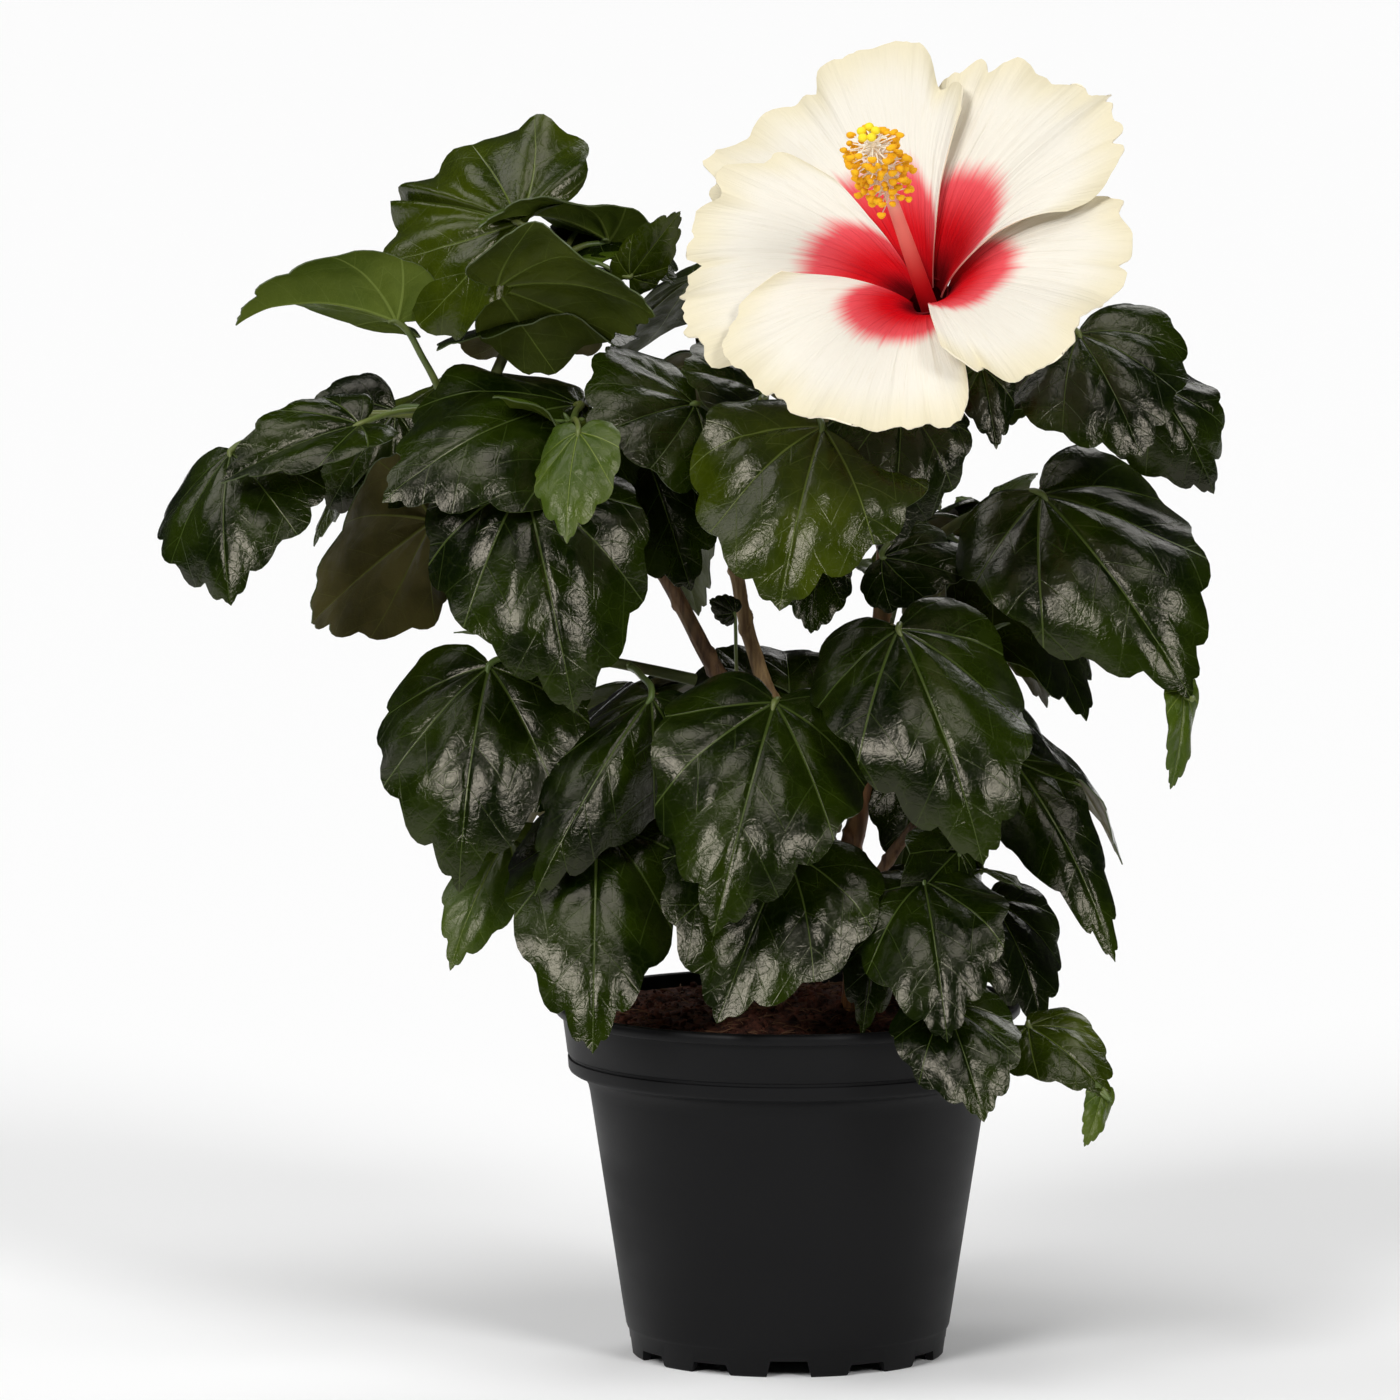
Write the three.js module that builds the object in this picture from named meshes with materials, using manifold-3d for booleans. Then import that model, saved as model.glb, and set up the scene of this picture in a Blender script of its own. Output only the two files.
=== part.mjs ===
// A young hibiscus shrub in bloom, in its black nursery pot.
// Millimetres, +Z up. The origin is on the floor, on the pot's axis. The shrub's front is -Y.
import * as THREE from 'three';
import { mergeVertices } from 'three/addons/utils/BufferGeometryUtils.js';
import Module from 'manifold-3d';

const wasm = await Module();
wasm.setup();

// ---- Driving dimensions ---------------------------------------------------------------------

// The pot: a moulded 13 cm nursery pot, with a deep collar and a ring of feet.
const POT_HEIGHT = 99;
const LIP_RADIUS = 65;
const LIP_DEPTH = 3;
const COLLAR_TOP_RADIUS = 63.3;
const COLLAR_FOOT_RADIUS = 61.2;
const COLLAR_DEPTH = 19;
const SHOULDER_DEPTH = 4;
const BODY_TOP_RADIUS = 55.8;
const BODY_FOOT_RADIUS = 45.2;
const RING_RADIUS = 43.7;
const RING_WIDTH = 2.4;
const WALL = 1.3;
const FLOOR_UNDERSIDE = 5;
const STEP_HEIGHT = 7.6;
const PAD_RADIUS = 12; // the flat button in the middle of the underside
const POT_SIDES = 28;
const FOOT_GAPS = 12;
const GAP_HALF_ANGLE = 8.5; // degrees
const GAP_HEIGHT = 2;
const DRAIN_HEIGHT = 4.6;
const DRAINS_EVERY = 3; // every third gap is a drain, cut higher

// The soil fills the pot to a little under the rim.
const SOIL_EDGE_HEIGHT = 94.3;
const SOIL_CROWN_HEIGHT = 96;
const SOIL_CROWN_RADIUS = 40;

const CLEARANCE = 0.35; // left between neighbours
const SLIVER = 2e-3; // vertices closer than this are one
const LIMB_SIDES = 6;
const SHOOT_SIDES = 3;
const SHOOT_RADIUS = 2;
const PETIOLE_RADIUS = 1.2;
const BLADE_THICKNESS = 3;
const PETAL_THICKNESS = 3;

// Each limb: a line that it follows, its radius at the foot and at the end, and its flare.
const SOIL_TOP = SOIL_CROWN_HEIGHT + CLEARANCE;
const LIMBS = {
  trunk: { line: [[21, 2, SOIL_TOP], [19.5, 2, 112], [16, 3, 128], [14, 4, 140]],
    foot: 4.4, end: 3.9, flare: 1.7 },
  left_bough: { line: [[14, 4, 138], [-3, 1, 166], [-20, -1, 192], [-34, 0, 218], [-47, 3, 236]],
    foot: 3, end: 2 },
  middle_bough: { line: [[14, 5, 139], [1, 12, 168], [-10, 15, 197], [-15, 15, 220], [-20, 14, 238]],
    foot: 2.7, end: 1.9 },
  flower_bough: { line: [[15, 3, 139], [20, 5, 153], [26, 6, 206], [28, 9, 240], [37, 3, 265], [44, -14, 277]],
    foot: 2.9, end: 1.5 },
  right_bough: { line: [[19, 1, 122], [27, -6, 138], [36, -14, 152]], foot: 2, end: 1.3 },
  back_bough: { line: [[16, 5, 136], [22, 18, 158], [30, 32, 178]], foot: 2.4, end: 1.7 },
};

// ---- Leaves ---------------------------------------------------------------------------------

// A leaf runs from its base, where the stalk joins, to its tip. wide is its breadth, face is
// the way its upper side looks, bend is how far it arches over its length, and fold is how far
// its halves are raised from flat, both in degrees.
const leaf = (base, tip, wide, face, bend = 40, fold = 0) => ({ base, tip, wide, face, bend, fold });

// Stations along a blade from its base to its tip, and half-breadths there as shares of wide / 2.
// The blade starts as a narrow neck, where its stalk runs into it.
const BLADE_STATIONS = [-0.06, 0.05, 0.36, 0.7, 1];
const BLADE_BREADTHS = [0, 0.93, 1, 0.72, 0.06];

// The masses at the front and the sides, each with the shoot that carries it.
const MASSES = {
  left_foliage: { shoot: [[-50, 6, 238], [-72, 14, 252], [-94, 16, 262]], leaves: [
    leaf([-109, 8, 289], [-151, -22, 292], 42, [-0.1, 0.7, 0.7], 50, 45),
    leaf([-121, 0, 262], [-158, -14, 247], 27, [-0.2, -0.7, 0.7], 30, 20),
    leaf([-156, -14, 256], [-154, -34, 214], 52, [-0.35, -0.85, 0.3], 50, -15),
    leaf([-102, 30, 227], [-135, -5, 201], 58, [-0.1, 0.85, 0.4], 15, 8),
  ] },
  top_left_foliage: { shoot: [[-84, 12, 268], [-76, 12, 286], [-64, 14, 306]], leaves: [
    leaf([-78, 2, 316], [-114, 38, 324], 72, [-0.42, -0.52, 0.74], 45),
    leaf([-81, -8, 300], [-37, -20, 293], 56, [0.1, 0.66, 0.74], 60),
    leaf([-55, 25, 285], [-98, 0, 282], 44, [0, 0.3, 0.95], 40),
    leaf([-55, 30, 315], [-32, 10, 299], 32, [0.4, -0.5, 0.75], 40),
    leaf([-44, 2, 302], [-30, -6, 321], 15, [0.3, -0.8, 0.5], 20),
  ] },
  mid_left_foliage: { shoot: [[-52, 0, 240], [-58, -8, 252], [-60, -12, 262]], leaves: [
    leaf([-58, -2, 267], [-112, -36, 243], 62, [-0.1, -0.72, 0.68], 55, -8),
    leaf([-73, -28, 248], [-59, -55, 187], 62, [0, -0.9, 0.4], 45, -8),
    leaf([-58, -48, 264], [-61, -66, 235], 24, [-0.3, -0.8, 0.5], 40, -10),
  ] },
  centre_foliage: { shoot: [[-24, 6, 246], [-22, 0, 258], [-8, -4, 266]], leaves: [
    leaf([-26, -12, 268], [-55, -30, 260], 54, [-0.05, -0.8, 0.55], 35),
    leaf([-7, 5, 269], [-30, -10, 277], 46, [0, -0.72, 0.68], 35),
    leaf([9, -42, 265], [-3, -70, 217], 66, [-0.1, -0.87, 0.45], 45),
    leaf([-41, 5, 256], [-27, -15, 216], 42, [0, -0.9, 0.35], 40),
  ] },
  flower_foot_foliage: { shoot: [[33, 0, 232], [32, -8, 240], [28, -16, 244]], leaves: [
    leaf([31, -40, 272], [28, -58, 234], 40, [0.1, -0.9, 0.4], 35),
    leaf([8, -20, 225], [6, -30, 206], 20, [0, -0.9, 0.3], 20),
    leaf([26, -10, 225], [49, -16, 220], 30, [0.1, -0.8, 0.5], 30),
  ] },
  upper_right_foliage: { shoot: [[42, 16, 262], [58, 14, 272], [76, 6, 282]], leaves: [
    leaf([80, -15, 288], [97, -38, 256], 55, [0.15, -0.88, 0.42], 40),
    leaf([101, 18, 271], [119, 14, 240], 36, [0.3, -0.85, 0.4], 50, -10),
    leaf([63, 10, 272], [59, 5, 259], 14, [0, -0.9, 0.3], 20),
  ] },
  right_foliage: { shoot: [[34, 8, 222], [46, 6, 232], [56, 0, 238]], leaves: [
    leaf([70, -12, 243], [111, -42, 189], 60, [0.12, -0.88, 0.45], 45, -5),
    leaf([109, -38, 191], [105, -48, 165], 12, [0.6, -0.7, 0.3], 20),
    leaf([60, 15, 213], [88, 6, 179], 34, [-0.3, -0.75, -0.5], 30),
  ] },
  lower_left_foliage: { shoot: [[-26, -4, 190], [-50, -12, 196], [-70, -14, 198]], leaves: [
    leaf([-83, -20, 196], [-91, -46, 136], 57, [-0.15, -0.88, 0.42], 55, -8),
    leaf([-38, -32, 189], [-70, -60, 137], 42, [-0.1, -0.88, 0.45], 45, -35),
    leaf([-78, -15, 148], [-94, -30, 112], 24, [-0.4, -0.8, 0.3], 30),
  ] },
  pot_side_foliage: { shoot: [[-6, -5, 152], [-24, -14, 158], [-44, -24, 160]], leaves: [
    leaf([-53, -34, 154], [-54, -78, 96], 50, [0, -0.87, 0.45], 45, -8),
  ] },
  lower_centre_foliage: { shoot: [[6, -7, 156], [4, -16, 170], [2, -26, 178]], leaves: [
    leaf([-4, -45, 189], [-21, -82, 129], 58, [0, -0.88, 0.45], 45, -5),
    leaf([-1, -50, 148], [-19, -74, 107], 52, [0, -0.9, 0.4], 30, 12),
  ] },
  inner_foliage: { shoot: [[22, 11, 156], [20, 10, 163], [15, 8, 169]], leaves: [
    leaf([0, 12, 178], [-20, 38, 194], 46, [-0.1, -0.66, 0.75], 30),
  ] },
  lower_right_foliage: { shoot: [[31, -1, 196], [36, -10, 200], [44, -16, 196]], leaves: [
    leaf([30, -42, 209], [53, -78, 148], 58, [0.1, -0.88, 0.45], 50, -10),
    leaf([60, -20, 170], [88, -48, 117], 28, [0.3, -0.85, 0.35], 45, -10),
  ] },
  pot_rim_foliage: { shoot: [[38, -18, 154], [44, -24, 148], [50, -28, 138]], leaves: [
    leaf([37, -50, 140], [43, -84, 100], 44, [0, -0.85, 0.5], 60),
    leaf([43, -68, 108], [53, -90, 79], 34, [0.05, -0.84, 0.52], 35),
    leaf([56, -16, 130], [70, -32, 98], 38, [0.5, -0.75, 0.3], 45),
    leaf([66, -46, 99], [88, -64, 81], 26, [0.3, -0.78, 0.5], 45),
    leaf([86, -63, 83], [81, -70, 69], 9, [0.4, -0.75, 0.3], 20),
  ] },
};

// The masses behind: each shoot bears its leaves by the golden section, all on its outer side.
const GOLDEN_SHARE = 0.618;
const BACK_SPREAD = 170; // degrees of arc that the leaves of a back shoot keep to
const BACK_MASSES = {
  back_left_foliage: { shoot: [[-54, 10, 236], [-70, 34, 246], [-82, 48, 262]], out: 128, count: 4 },
  back_top_foliage: { shoot: [[-22, 20, 244], [-18, 38, 268], [-12, 46, 292]], out: 96, count: 4 },
  back_right_foliage: { shoot: [[35, 14, 216], [48, 32, 221], [61, 46, 225]], out: 48, count: 4 },
  back_middle_foliage: { shoot: [[28, 14, 204], [30, 32, 208], [32, 46, 212]], out: 120, count: 1 },
  back_low_left_foliage: { shoot: [[-14, 8, 176], [-28, 28, 176], [-40, 44, 172]], out: 130, count: 3 },
  back_low_right_foliage: { shoot: [[32, 36, 180], [38, 44, 176], [46, 52, 168]], out: 62, count: 3 },
};
const BACK_LEAF_LENGTH = 58;
const BACK_LEAF_BREADTH = 50;
const BACK_STALK_LENGTH = 16;
const BACK_LEAF_FALL = 52; // degrees below level of the line from base to tip

// ---- The flower -----------------------------------------------------------------------------

const THROAT = new THREE.Vector3(37.7, -40, 299.4);
const FLOWER_AXIS = new THREE.Vector3(-0.24, -0.66, 0.71).normalize();
const TUBE_LENGTH = 24; // from the throat back to the foot of the calyx
const TUBE_RADIUS = 5.5;
const COLUMN_LENGTH = 72;
const COLUMN_RADIUS = 2;
const COLUMN_FOOT = 2.5; // past the throat
const COLUMN_SIDES = 10;
const ANTHER_HEAD_RADIUS = 9;
const ANTHER_HEAD_LENGTH = 26;
// Each petal: its turn about the axis, its length and its breadth.
const PETALS = [
  { turn: 120, length: 78, wide: 88 },
  { turn: 58, length: 74, wide: 82 },
  { turn: -14, length: 68, wide: 76 },
  { turn: -108, length: 62, wide: 82 },
  { turn: 176, length: 68, wide: 78 },
];
const PETAL_FOOT_RADIUS = 5;
const PETAL_FOOT_ANGLE = 28; // degrees from the axis
const PETAL_EDGE_ANGLE = 86;
const PETAL_ROUNDING = 0.25; // how much shorter a petal is at its sides than down its middle
const COROLLA_SHARES = [0, 0.3, 0.65, 1]; // where along a petal the rings of the surface lie
const COROLLA_SIDES = 28;
const CURVE_STEPS = 12;

// ---- Helpers --------------------------------------------------------------------------------

const vec = (p) => new THREE.Vector3(...p);
const rad = THREE.MathUtils.degToRad;

// A three.js geometry as a manifold-3d solid, its vertices welded within a distance.
function solid(geometry, weld = 1e-4) {
  const bare = geometry.clone();
  bare.deleteAttribute('normal');
  bare.deleteAttribute('uv');
  const merged = mergeVertices(bare, weld);
  return new wasm.Manifold(new wasm.Mesh({
    numProp: 3,
    vertProperties: new Float32Array(merged.attributes.position.array),
    triVerts: new Uint32Array(merged.index.array),
  }));
}

// A manifold-3d solid as a three.js geometry.
function geometryOf(body) {
  const mesh = body.getMesh();
  const geometry = new THREE.BufferGeometry();
  geometry.setAttribute('position', new THREE.BufferAttribute(new Float32Array(mesh.vertProperties), 3));
  geometry.setIndex(new THREE.BufferAttribute(new Uint32Array(mesh.triVerts), 1));
  const flat = geometry.toNonIndexed();
  flat.computeVertexNormals();
  return flat;
}

// The largest of the separate bodies that a cut leaves.
function largest(body) {
  return body.decompose().reduce((best, piece) => (piece.volume() > best.volume() ? piece : best));
}

// Moves every vertex of a geometry to where place(x, y, z) says.
function reshape(geometry, place) {
  const position = geometry.attributes.position;
  for (let i = 0; i < position.count; i += 1) {
    const to = place(position.getX(i), position.getY(i), position.getZ(i));
    position.setXYZ(i, to.x, to.y, to.z);
  }
  return geometry;
}

// A round, tapering limb along a line. flare widens its foot, by a share of its radius.
function limb({ line, foot, end, flare = 1 }, sides, steps, grow = 0) {
  const curve = new THREE.CatmullRomCurve3(line.map(vec), false, 'centripetal');
  const frames = curve.computeFrenetFrames(steps, false);
  const rod = new THREE.CylinderGeometry(1, 1, 1, sides, steps);
  return solid(reshape(rod, (x, y, z) => {
    const t = y + 0.5;
    const k = Math.round(t * steps);
    const spread = 1 + (flare - 1) * Math.exp(-t * 7);
    const radius = (foot + (end - foot) * t) * spread + grow;
    const level = flare > 1 && k === 0; // the cut at the soil is level
    const across = level ? new THREE.Vector3(1, 0, 0) : frames.normals[k];
    const other = level ? new THREE.Vector3(0, 1, 0) : frames.binormals[k];
    return curve.getPointAt(t).addScaledVector(across, z * radius).addScaledVector(other, x * radius);
  }));
}

// A leaf with its stalk: a slab of a few faces, from a place on the shoot to the leaf's base and
// then along an arc to its tip.
function leafSlab({ base, tip, wide, face, bend, fold }, node, grow = 0) {
  const from = vec(base);
  const chord = vec(tip).sub(from);
  const span = chord.length();
  const ahead = chord.clone().normalize();
  const up = vec(face);
  up.addScaledVector(ahead, -up.dot(ahead)).normalize();
  const side = ahead.clone().cross(up);
  const arc = rad(bend);
  const radius = span / (2 * Math.sin(arc / 2));
  const raise = rad(fold);
  const rows = BLADE_STATIONS.length;
  const columns = fold === 0 ? 1 : 2;
  // The stalk starts a little inside the shoot, its section square to its own way.
  const way = from.clone().sub(node).normalize();
  const root = node.clone().addScaledVector(way, -SHOOT_RADIUS / 2);
  const stalkSide = side.clone().addScaledVector(way, -side.dot(way)).normalize();
  const stalkUp = stalkSide.clone().cross(way);
  return solid(reshape(new THREE.BoxGeometry(2, rows, 1, columns, rows, 1), (x, y, z) => {
    const row = Math.round(y + rows / 2);
    const thick = z * (BLADE_THICKNESS + 2 * grow);
    if (row === 0) {
      return root.clone().addScaledVector(stalkSide, x * (PETIOLE_RADIUS + grow)).addScaledVector(stalkUp, thick);
    }
    const t = BLADE_STATIONS[row - 1] + (row === rows ? grow / span : 0);
    const slope = arc / 2 - arc * t;
    const along = radius * (Math.sin(arc / 2) - Math.sin(slope));
    const rise = radius * (Math.cos(slope) - Math.cos(arc / 2));
    const out = ahead.clone().multiplyScalar(-Math.sin(slope)).addScaledVector(up, Math.cos(slope));
    const reach = Math.max(PETIOLE_RADIUS, (wide / 2) * BLADE_BREADTHS[row - 1]) + grow;
    return from.clone().addScaledVector(ahead, along).addScaledVector(up, rise)
      .addScaledVector(side, x * reach * Math.cos(raise))
      .addScaledVector(out, Math.abs(x) * reach * Math.sin(raise) + thick);
  }));
}

// The leaves of a back shoot, one after another by the golden section.
function backLeaves({ shoot, out, count }) {
  const curve = new THREE.CatmullRomCurve3(shoot.map(vec));
  return Array.from({ length: count }, (_, i) => {
    const turn = rad(out - BACK_SPREAD / 2 + (((i * GOLDEN_SHARE) % 1) * BACK_SPREAD));
    const away = new THREE.Vector3(Math.cos(turn), Math.sin(turn), 0);
    const node = curve.getPointAt((i + 1) / count);
    const base = node.addScaledVector(away, BACK_STALK_LENGTH).add(new THREE.Vector3(0, 0, 6));
    const fall = rad(BACK_LEAF_FALL);
    const tip = base.clone().addScaledVector(away, BACK_LEAF_LENGTH * Math.cos(fall));
    tip.z -= BACK_LEAF_LENGTH * Math.sin(fall);
    return leaf(base.toArray(), tip.toArray(), BACK_LEAF_BREADTH, [away.x * 0.7, away.y * 0.7, 0.7]);
  });
}

// A mass: its shoot, and each leaf with a stalk from the nearest place on the shoot.
function mass({ shoot, leaves }, grow = 0) {
  const curve = new THREE.CatmullRomCurve3(shoot.map(vec), false, 'centripetal');
  const [foot, middle, end] = [0, 0.5, 1].map((t) => curve.getPointAt(t));
  const places = [0, 0.25, 0.5, 0.75, 1].flatMap((t) => [foot.clone().lerp(middle, t), middle.clone().lerp(end, t)]);
  const body = limb({ line: shoot, foot: SHOOT_RADIUS, end: SHOOT_RADIUS }, SHOOT_SIDES, 2, grow);
  return leaves.reduce((whole, one) => {
    const base = vec(one.base);
    const node = places.reduce((a, b) => (a.distanceTo(base) < b.distanceTo(base) ? a : b));
    return whole.add(leafSlab(one, node, grow));
  }, body);
}

// How long the corolla is at a turn about its axis: the longest petal there, each one round-ended.
function corollaLength(turn) {
  return Math.max(...PETALS.map((petal) => {
    const half = petal.wide / 2 / (petal.length * 0.85);
    const away = Math.abs(((turn - rad(petal.turn) + 3 * Math.PI) % (2 * Math.PI)) - Math.PI) / half;
    return petal.length * (1 - PETAL_ROUNDING * away ** 3);
  }));
}

// The whole bloom: a thin five-lobed funnel on its tube, closed down the middle.
function bloom(grow = 0) {
  const right = new THREE.Vector3(0, 0, 1).cross(FLOWER_AXIS).normalize();
  const high = FLOWER_AXIS.clone().cross(right);
  const shares = COROLLA_SHARES.length;
  const rows = 4 + 2 * shares;
  const profile = Array.from({ length: rows }, (_, i) => new THREE.Vector2(i % (rows - 1) ? 1 : 0, i));
  return solid(reshape(new THREE.LatheGeometry(profile, COROLLA_SIDES), (x, y, z) => {
    const row = Math.round(y);
    const turn = Math.atan2(x, z);
    const radial = right.clone().multiplyScalar(Math.cos(turn)).addScaledVector(high, Math.sin(turn));
    const at = (reach, rise) => THROAT.clone().addScaledVector(FLOWER_AXIS, rise).addScaledVector(radial, reach);
    if (row === 0) return at(0, -TUBE_LENGTH - grow);
    if (row === 1) return at(TUBE_RADIUS * 0.7 + grow, -TUBE_LENGTH - grow);
    if (row === 2) return at(TUBE_RADIUS + grow, -TUBE_LENGTH / 2);
    if (row === rows - 1) return at(0, grow);
    const outer = row < 3 + shares;
    const share = COROLLA_SHARES[outer ? row - 3 : rows - 2 - row];
    const length = (corollaLength(turn) + grow) * share;
    let reach = PETAL_FOOT_RADIUS;
    let rise = 0;
    let angle = 0;
    for (let i = 1; i <= CURVE_STEPS; i += 1) {
      const opened = Math.min(1, (1.6 * share * i) / CURVE_STEPS) ** 0.8;
      angle = rad(PETAL_FOOT_ANGLE + (PETAL_EDGE_ANGLE - PETAL_FOOT_ANGLE) * opened);
      reach += (Math.sin(angle) * length) / CURVE_STEPS;
      rise += (Math.cos(angle) * length) / CURVE_STEPS;
    }
    const half = (PETAL_THICKNESS / 2 + grow) * (outer ? -1 : 1);
    return at(reach - Math.cos(angle) * half, rise + Math.sin(angle) * half);
  }));
}

// The column of stamens, turned on the flower's axis.
function flowerColumn() {
  const headFoot = COLUMN_LENGTH - ANTHER_HEAD_LENGTH;
  const profile = [
    [0, COLUMN_FOOT], [COLUMN_RADIUS, COLUMN_FOOT + 1], [COLUMN_RADIUS, headFoot],
    [ANTHER_HEAD_RADIUS, headFoot + 7], [ANTHER_HEAD_RADIUS, COLUMN_LENGTH - 8], [0, COLUMN_LENGTH],
  ].map(([r, h]) => new THREE.Vector2(r, h));
  const column = new THREE.LatheGeometry(profile, COLUMN_SIDES);
  column.applyQuaternion(new THREE.Quaternion().setFromUnitVectors(new THREE.Vector3(0, 1, 0), FLOWER_AXIS));
  column.translate(THROAT.x, THROAT.y, THROAT.z);
  return solid(column);
}

// A body turned on the pot's axis, from a profile of [radius, height].
function turned(profile) {
  const points = profile.map(([r, z]) => new THREE.Vector2(r, z));
  return solid(new THREE.LatheGeometry(points, POT_SIDES).rotateX(Math.PI / 2));
}

// Radius of the pot's body at a height below its shoulder.
const bodyFoot = STEP_HEIGHT;
const shoulderHeight = POT_HEIGHT - COLLAR_DEPTH - SHOULDER_DEPTH;
const bodyRadius = (z) => BODY_FOOT_RADIUS
  + ((BODY_TOP_RADIUS - BODY_FOOT_RADIUS) * (z - bodyFoot)) / (shoulderHeight - bodyFoot);

function pot() {
  const floorTop = FLOOR_UNDERSIDE + WALL;
  const collarFoot = POT_HEIGHT - COLLAR_DEPTH;
  const body = turned([
    [0, 0], [PAD_RADIUS, 0], [PAD_RADIUS, FLOOR_UNDERSIDE], [RING_RADIUS - RING_WIDTH, FLOOR_UNDERSIDE],
    [RING_RADIUS - RING_WIDTH, 0], [RING_RADIUS, 0], [BODY_FOOT_RADIUS - 0.5, STEP_HEIGHT],
    [BODY_FOOT_RADIUS, bodyFoot], [BODY_TOP_RADIUS, shoulderHeight], [COLLAR_FOOT_RADIUS, collarFoot],
    [COLLAR_TOP_RADIUS, POT_HEIGHT - LIP_DEPTH], [LIP_RADIUS, POT_HEIGHT - LIP_DEPTH],
    [LIP_RADIUS, POT_HEIGHT], [COLLAR_TOP_RADIUS - WALL, POT_HEIGHT],
    [COLLAR_FOOT_RADIUS - WALL, collarFoot + 1], [BODY_TOP_RADIUS - WALL, shoulderHeight],
    [bodyRadius(floorTop) - WALL, floorTop], [0, floorTop],
  ]);
  return Array.from({ length: FOOT_GAPS }).reduce((whole, _, i) => {
    const height = i % DRAINS_EVERY === 0 ? DRAIN_HEIGHT : GAP_HEIGHT;
    const half = rad(GAP_HALF_ANGLE);
    const sector = new THREE.Shape([
      [RING_RADIUS - RING_WIDTH - 4, -1], [RING_RADIUS + 6, -1], [RING_RADIUS + 6, 1], [RING_RADIUS - RING_WIDTH - 4, 1],
    ].map(([r, s]) => new THREE.Vector2(r * Math.cos(s * half), r * Math.sin(s * half))));
    const wedge = new THREE.ExtrudeGeometry(sector, { depth: height + 1, bevelEnabled: false });
    wedge.translate(0, 0, -1).rotateZ((i * 2 * Math.PI) / FOOT_GAPS);
    return whole.subtract(solid(wedge));
  }, body);
}

function soil() {
  const gap = WALL + CLEARANCE;
  const foot = FLOOR_UNDERSIDE + WALL + CLEARANCE;
  const collarInside = POT_HEIGHT - COLLAR_DEPTH + 1;
  return turned([
    [0, foot], [bodyRadius(foot) - gap, foot], [BODY_TOP_RADIUS - gap, shoulderHeight],
    [COLLAR_FOOT_RADIUS - gap - 0.3, collarInside + CLEARANCE],
    [COLLAR_TOP_RADIUS - gap - 0.8, SOIL_EDGE_HEIGHT], [SOIL_CROWN_RADIUS, SOIL_CROWN_HEIGHT], [0, SOIL_CROWN_HEIGHT],
  ]);
}

// ---- The assembly ---------------------------------------------------------------------------

const finish = (color, roughness) => new THREE.MeshStandardMaterial({ color, roughness, metalness: 0 });
const FINISHES = {
  plastic: finish(0x242426, 0.5),
  peat: finish(0x2a1611, 0.95),
  bark: finish(0x7a4a24, 0.75),
  greenBark: finish(0x6a5a2c, 0.7),
  foliage: finish(0x1c3410, 0.35),
  petal: finish(0xfbf3df, 0.6),
  column: finish(0xf5a800, 0.6),
};

const hibiscus = new THREE.Group();

// Adds a body as a named mesh. Welding it again drops the slivers that joins and cuts leave.
function addPart(name, body, material) {
  const clean = largest(solid(geometryOf(body), SLIVER));
  const mesh = new THREE.Mesh(geometryOf(clean), material);
  mesh.name = name;
  hibiscus.add(mesh);
}

addPart('pot', pot(), FINISHES.plastic);
addPart('soil', soil(), FINISHES.peat);

// What is already placed, each a little larger than life, for later bodies to be cut clear of.
const placed = [];
const cutClear = (body) => largest(placed.reduce((rest, other) => rest.subtract(other), body));

for (const [name, shape] of Object.entries(LIMBS)) {
  const steps = shape.line.length + 2;
  addPart(name, cutClear(limb(shape, LIMB_SIDES, steps)), name === 'trunk' ? FINISHES.bark : FINISHES.greenBark);
  placed.push(limb(shape, LIMB_SIDES, steps, CLEARANCE));
}

const column = flowerColumn();
addPart('flower_column', column, FINISHES.column);
addPart('bloom', cutClear(bloom()), FINISHES.petal);
placed.push(bloom(CLEARANCE));
placed.push(turned([[0, 0], [LIP_RADIUS + 1, 0], [LIP_RADIUS + 1, POT_HEIGHT + 0.5], [0, POT_HEIGHT + 0.5]]));

const backs = Object.entries(BACK_MASSES).map(([name, rule]) => [name, { shoot: rule.shoot, leaves: backLeaves(rule) }]);
for (const [name, shape] of [...Object.entries(MASSES), ...backs]) {
  addPart(name, cutClear(mass(shape)), FINISHES.foliage);
  placed.push(mass(shape, CLEARANCE));
}

export default hibiscus;
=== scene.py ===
# %% [markdown]
# # A potted hibiscus in bloom
#
# This lesson dresses a young hibiscus shrub: a black nursery pot, peat, bark, about a hundred glossy
# leaves, large and small, and one large bloom. The plain solids of the plant are loaded first, as a
# fixed frame. Every finished piece is then made in its place, in metres, and rides on the same body.

# %% Load the frame
import math
import random

import bpy
import numpy as np
from mathutils import Matrix, Vector, noise


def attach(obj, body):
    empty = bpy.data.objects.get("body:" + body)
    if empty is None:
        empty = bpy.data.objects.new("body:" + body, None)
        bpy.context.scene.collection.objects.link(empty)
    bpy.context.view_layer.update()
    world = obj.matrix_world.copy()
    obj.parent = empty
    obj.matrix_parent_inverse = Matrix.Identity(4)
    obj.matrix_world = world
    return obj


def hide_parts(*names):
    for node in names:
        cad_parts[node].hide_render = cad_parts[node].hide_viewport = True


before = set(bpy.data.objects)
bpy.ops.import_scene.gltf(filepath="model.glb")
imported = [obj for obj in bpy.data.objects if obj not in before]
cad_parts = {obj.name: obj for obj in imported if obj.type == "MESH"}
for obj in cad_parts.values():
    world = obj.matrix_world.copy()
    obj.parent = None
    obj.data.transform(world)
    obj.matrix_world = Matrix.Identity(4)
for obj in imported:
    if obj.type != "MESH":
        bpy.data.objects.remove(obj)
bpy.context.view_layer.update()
MM = 0.001

# %% [markdown]
# ## The camera and the studio
#
# A long lens far away keeps the plant from looking stretched. Big, soft lights are what a glossy leaf
# needs, because what shows on it is the reflection of the lights. Sun lamps with a wide angle act as
# softboxes that are equally large from everywhere, so that the pale floor is lit evenly too.

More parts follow.
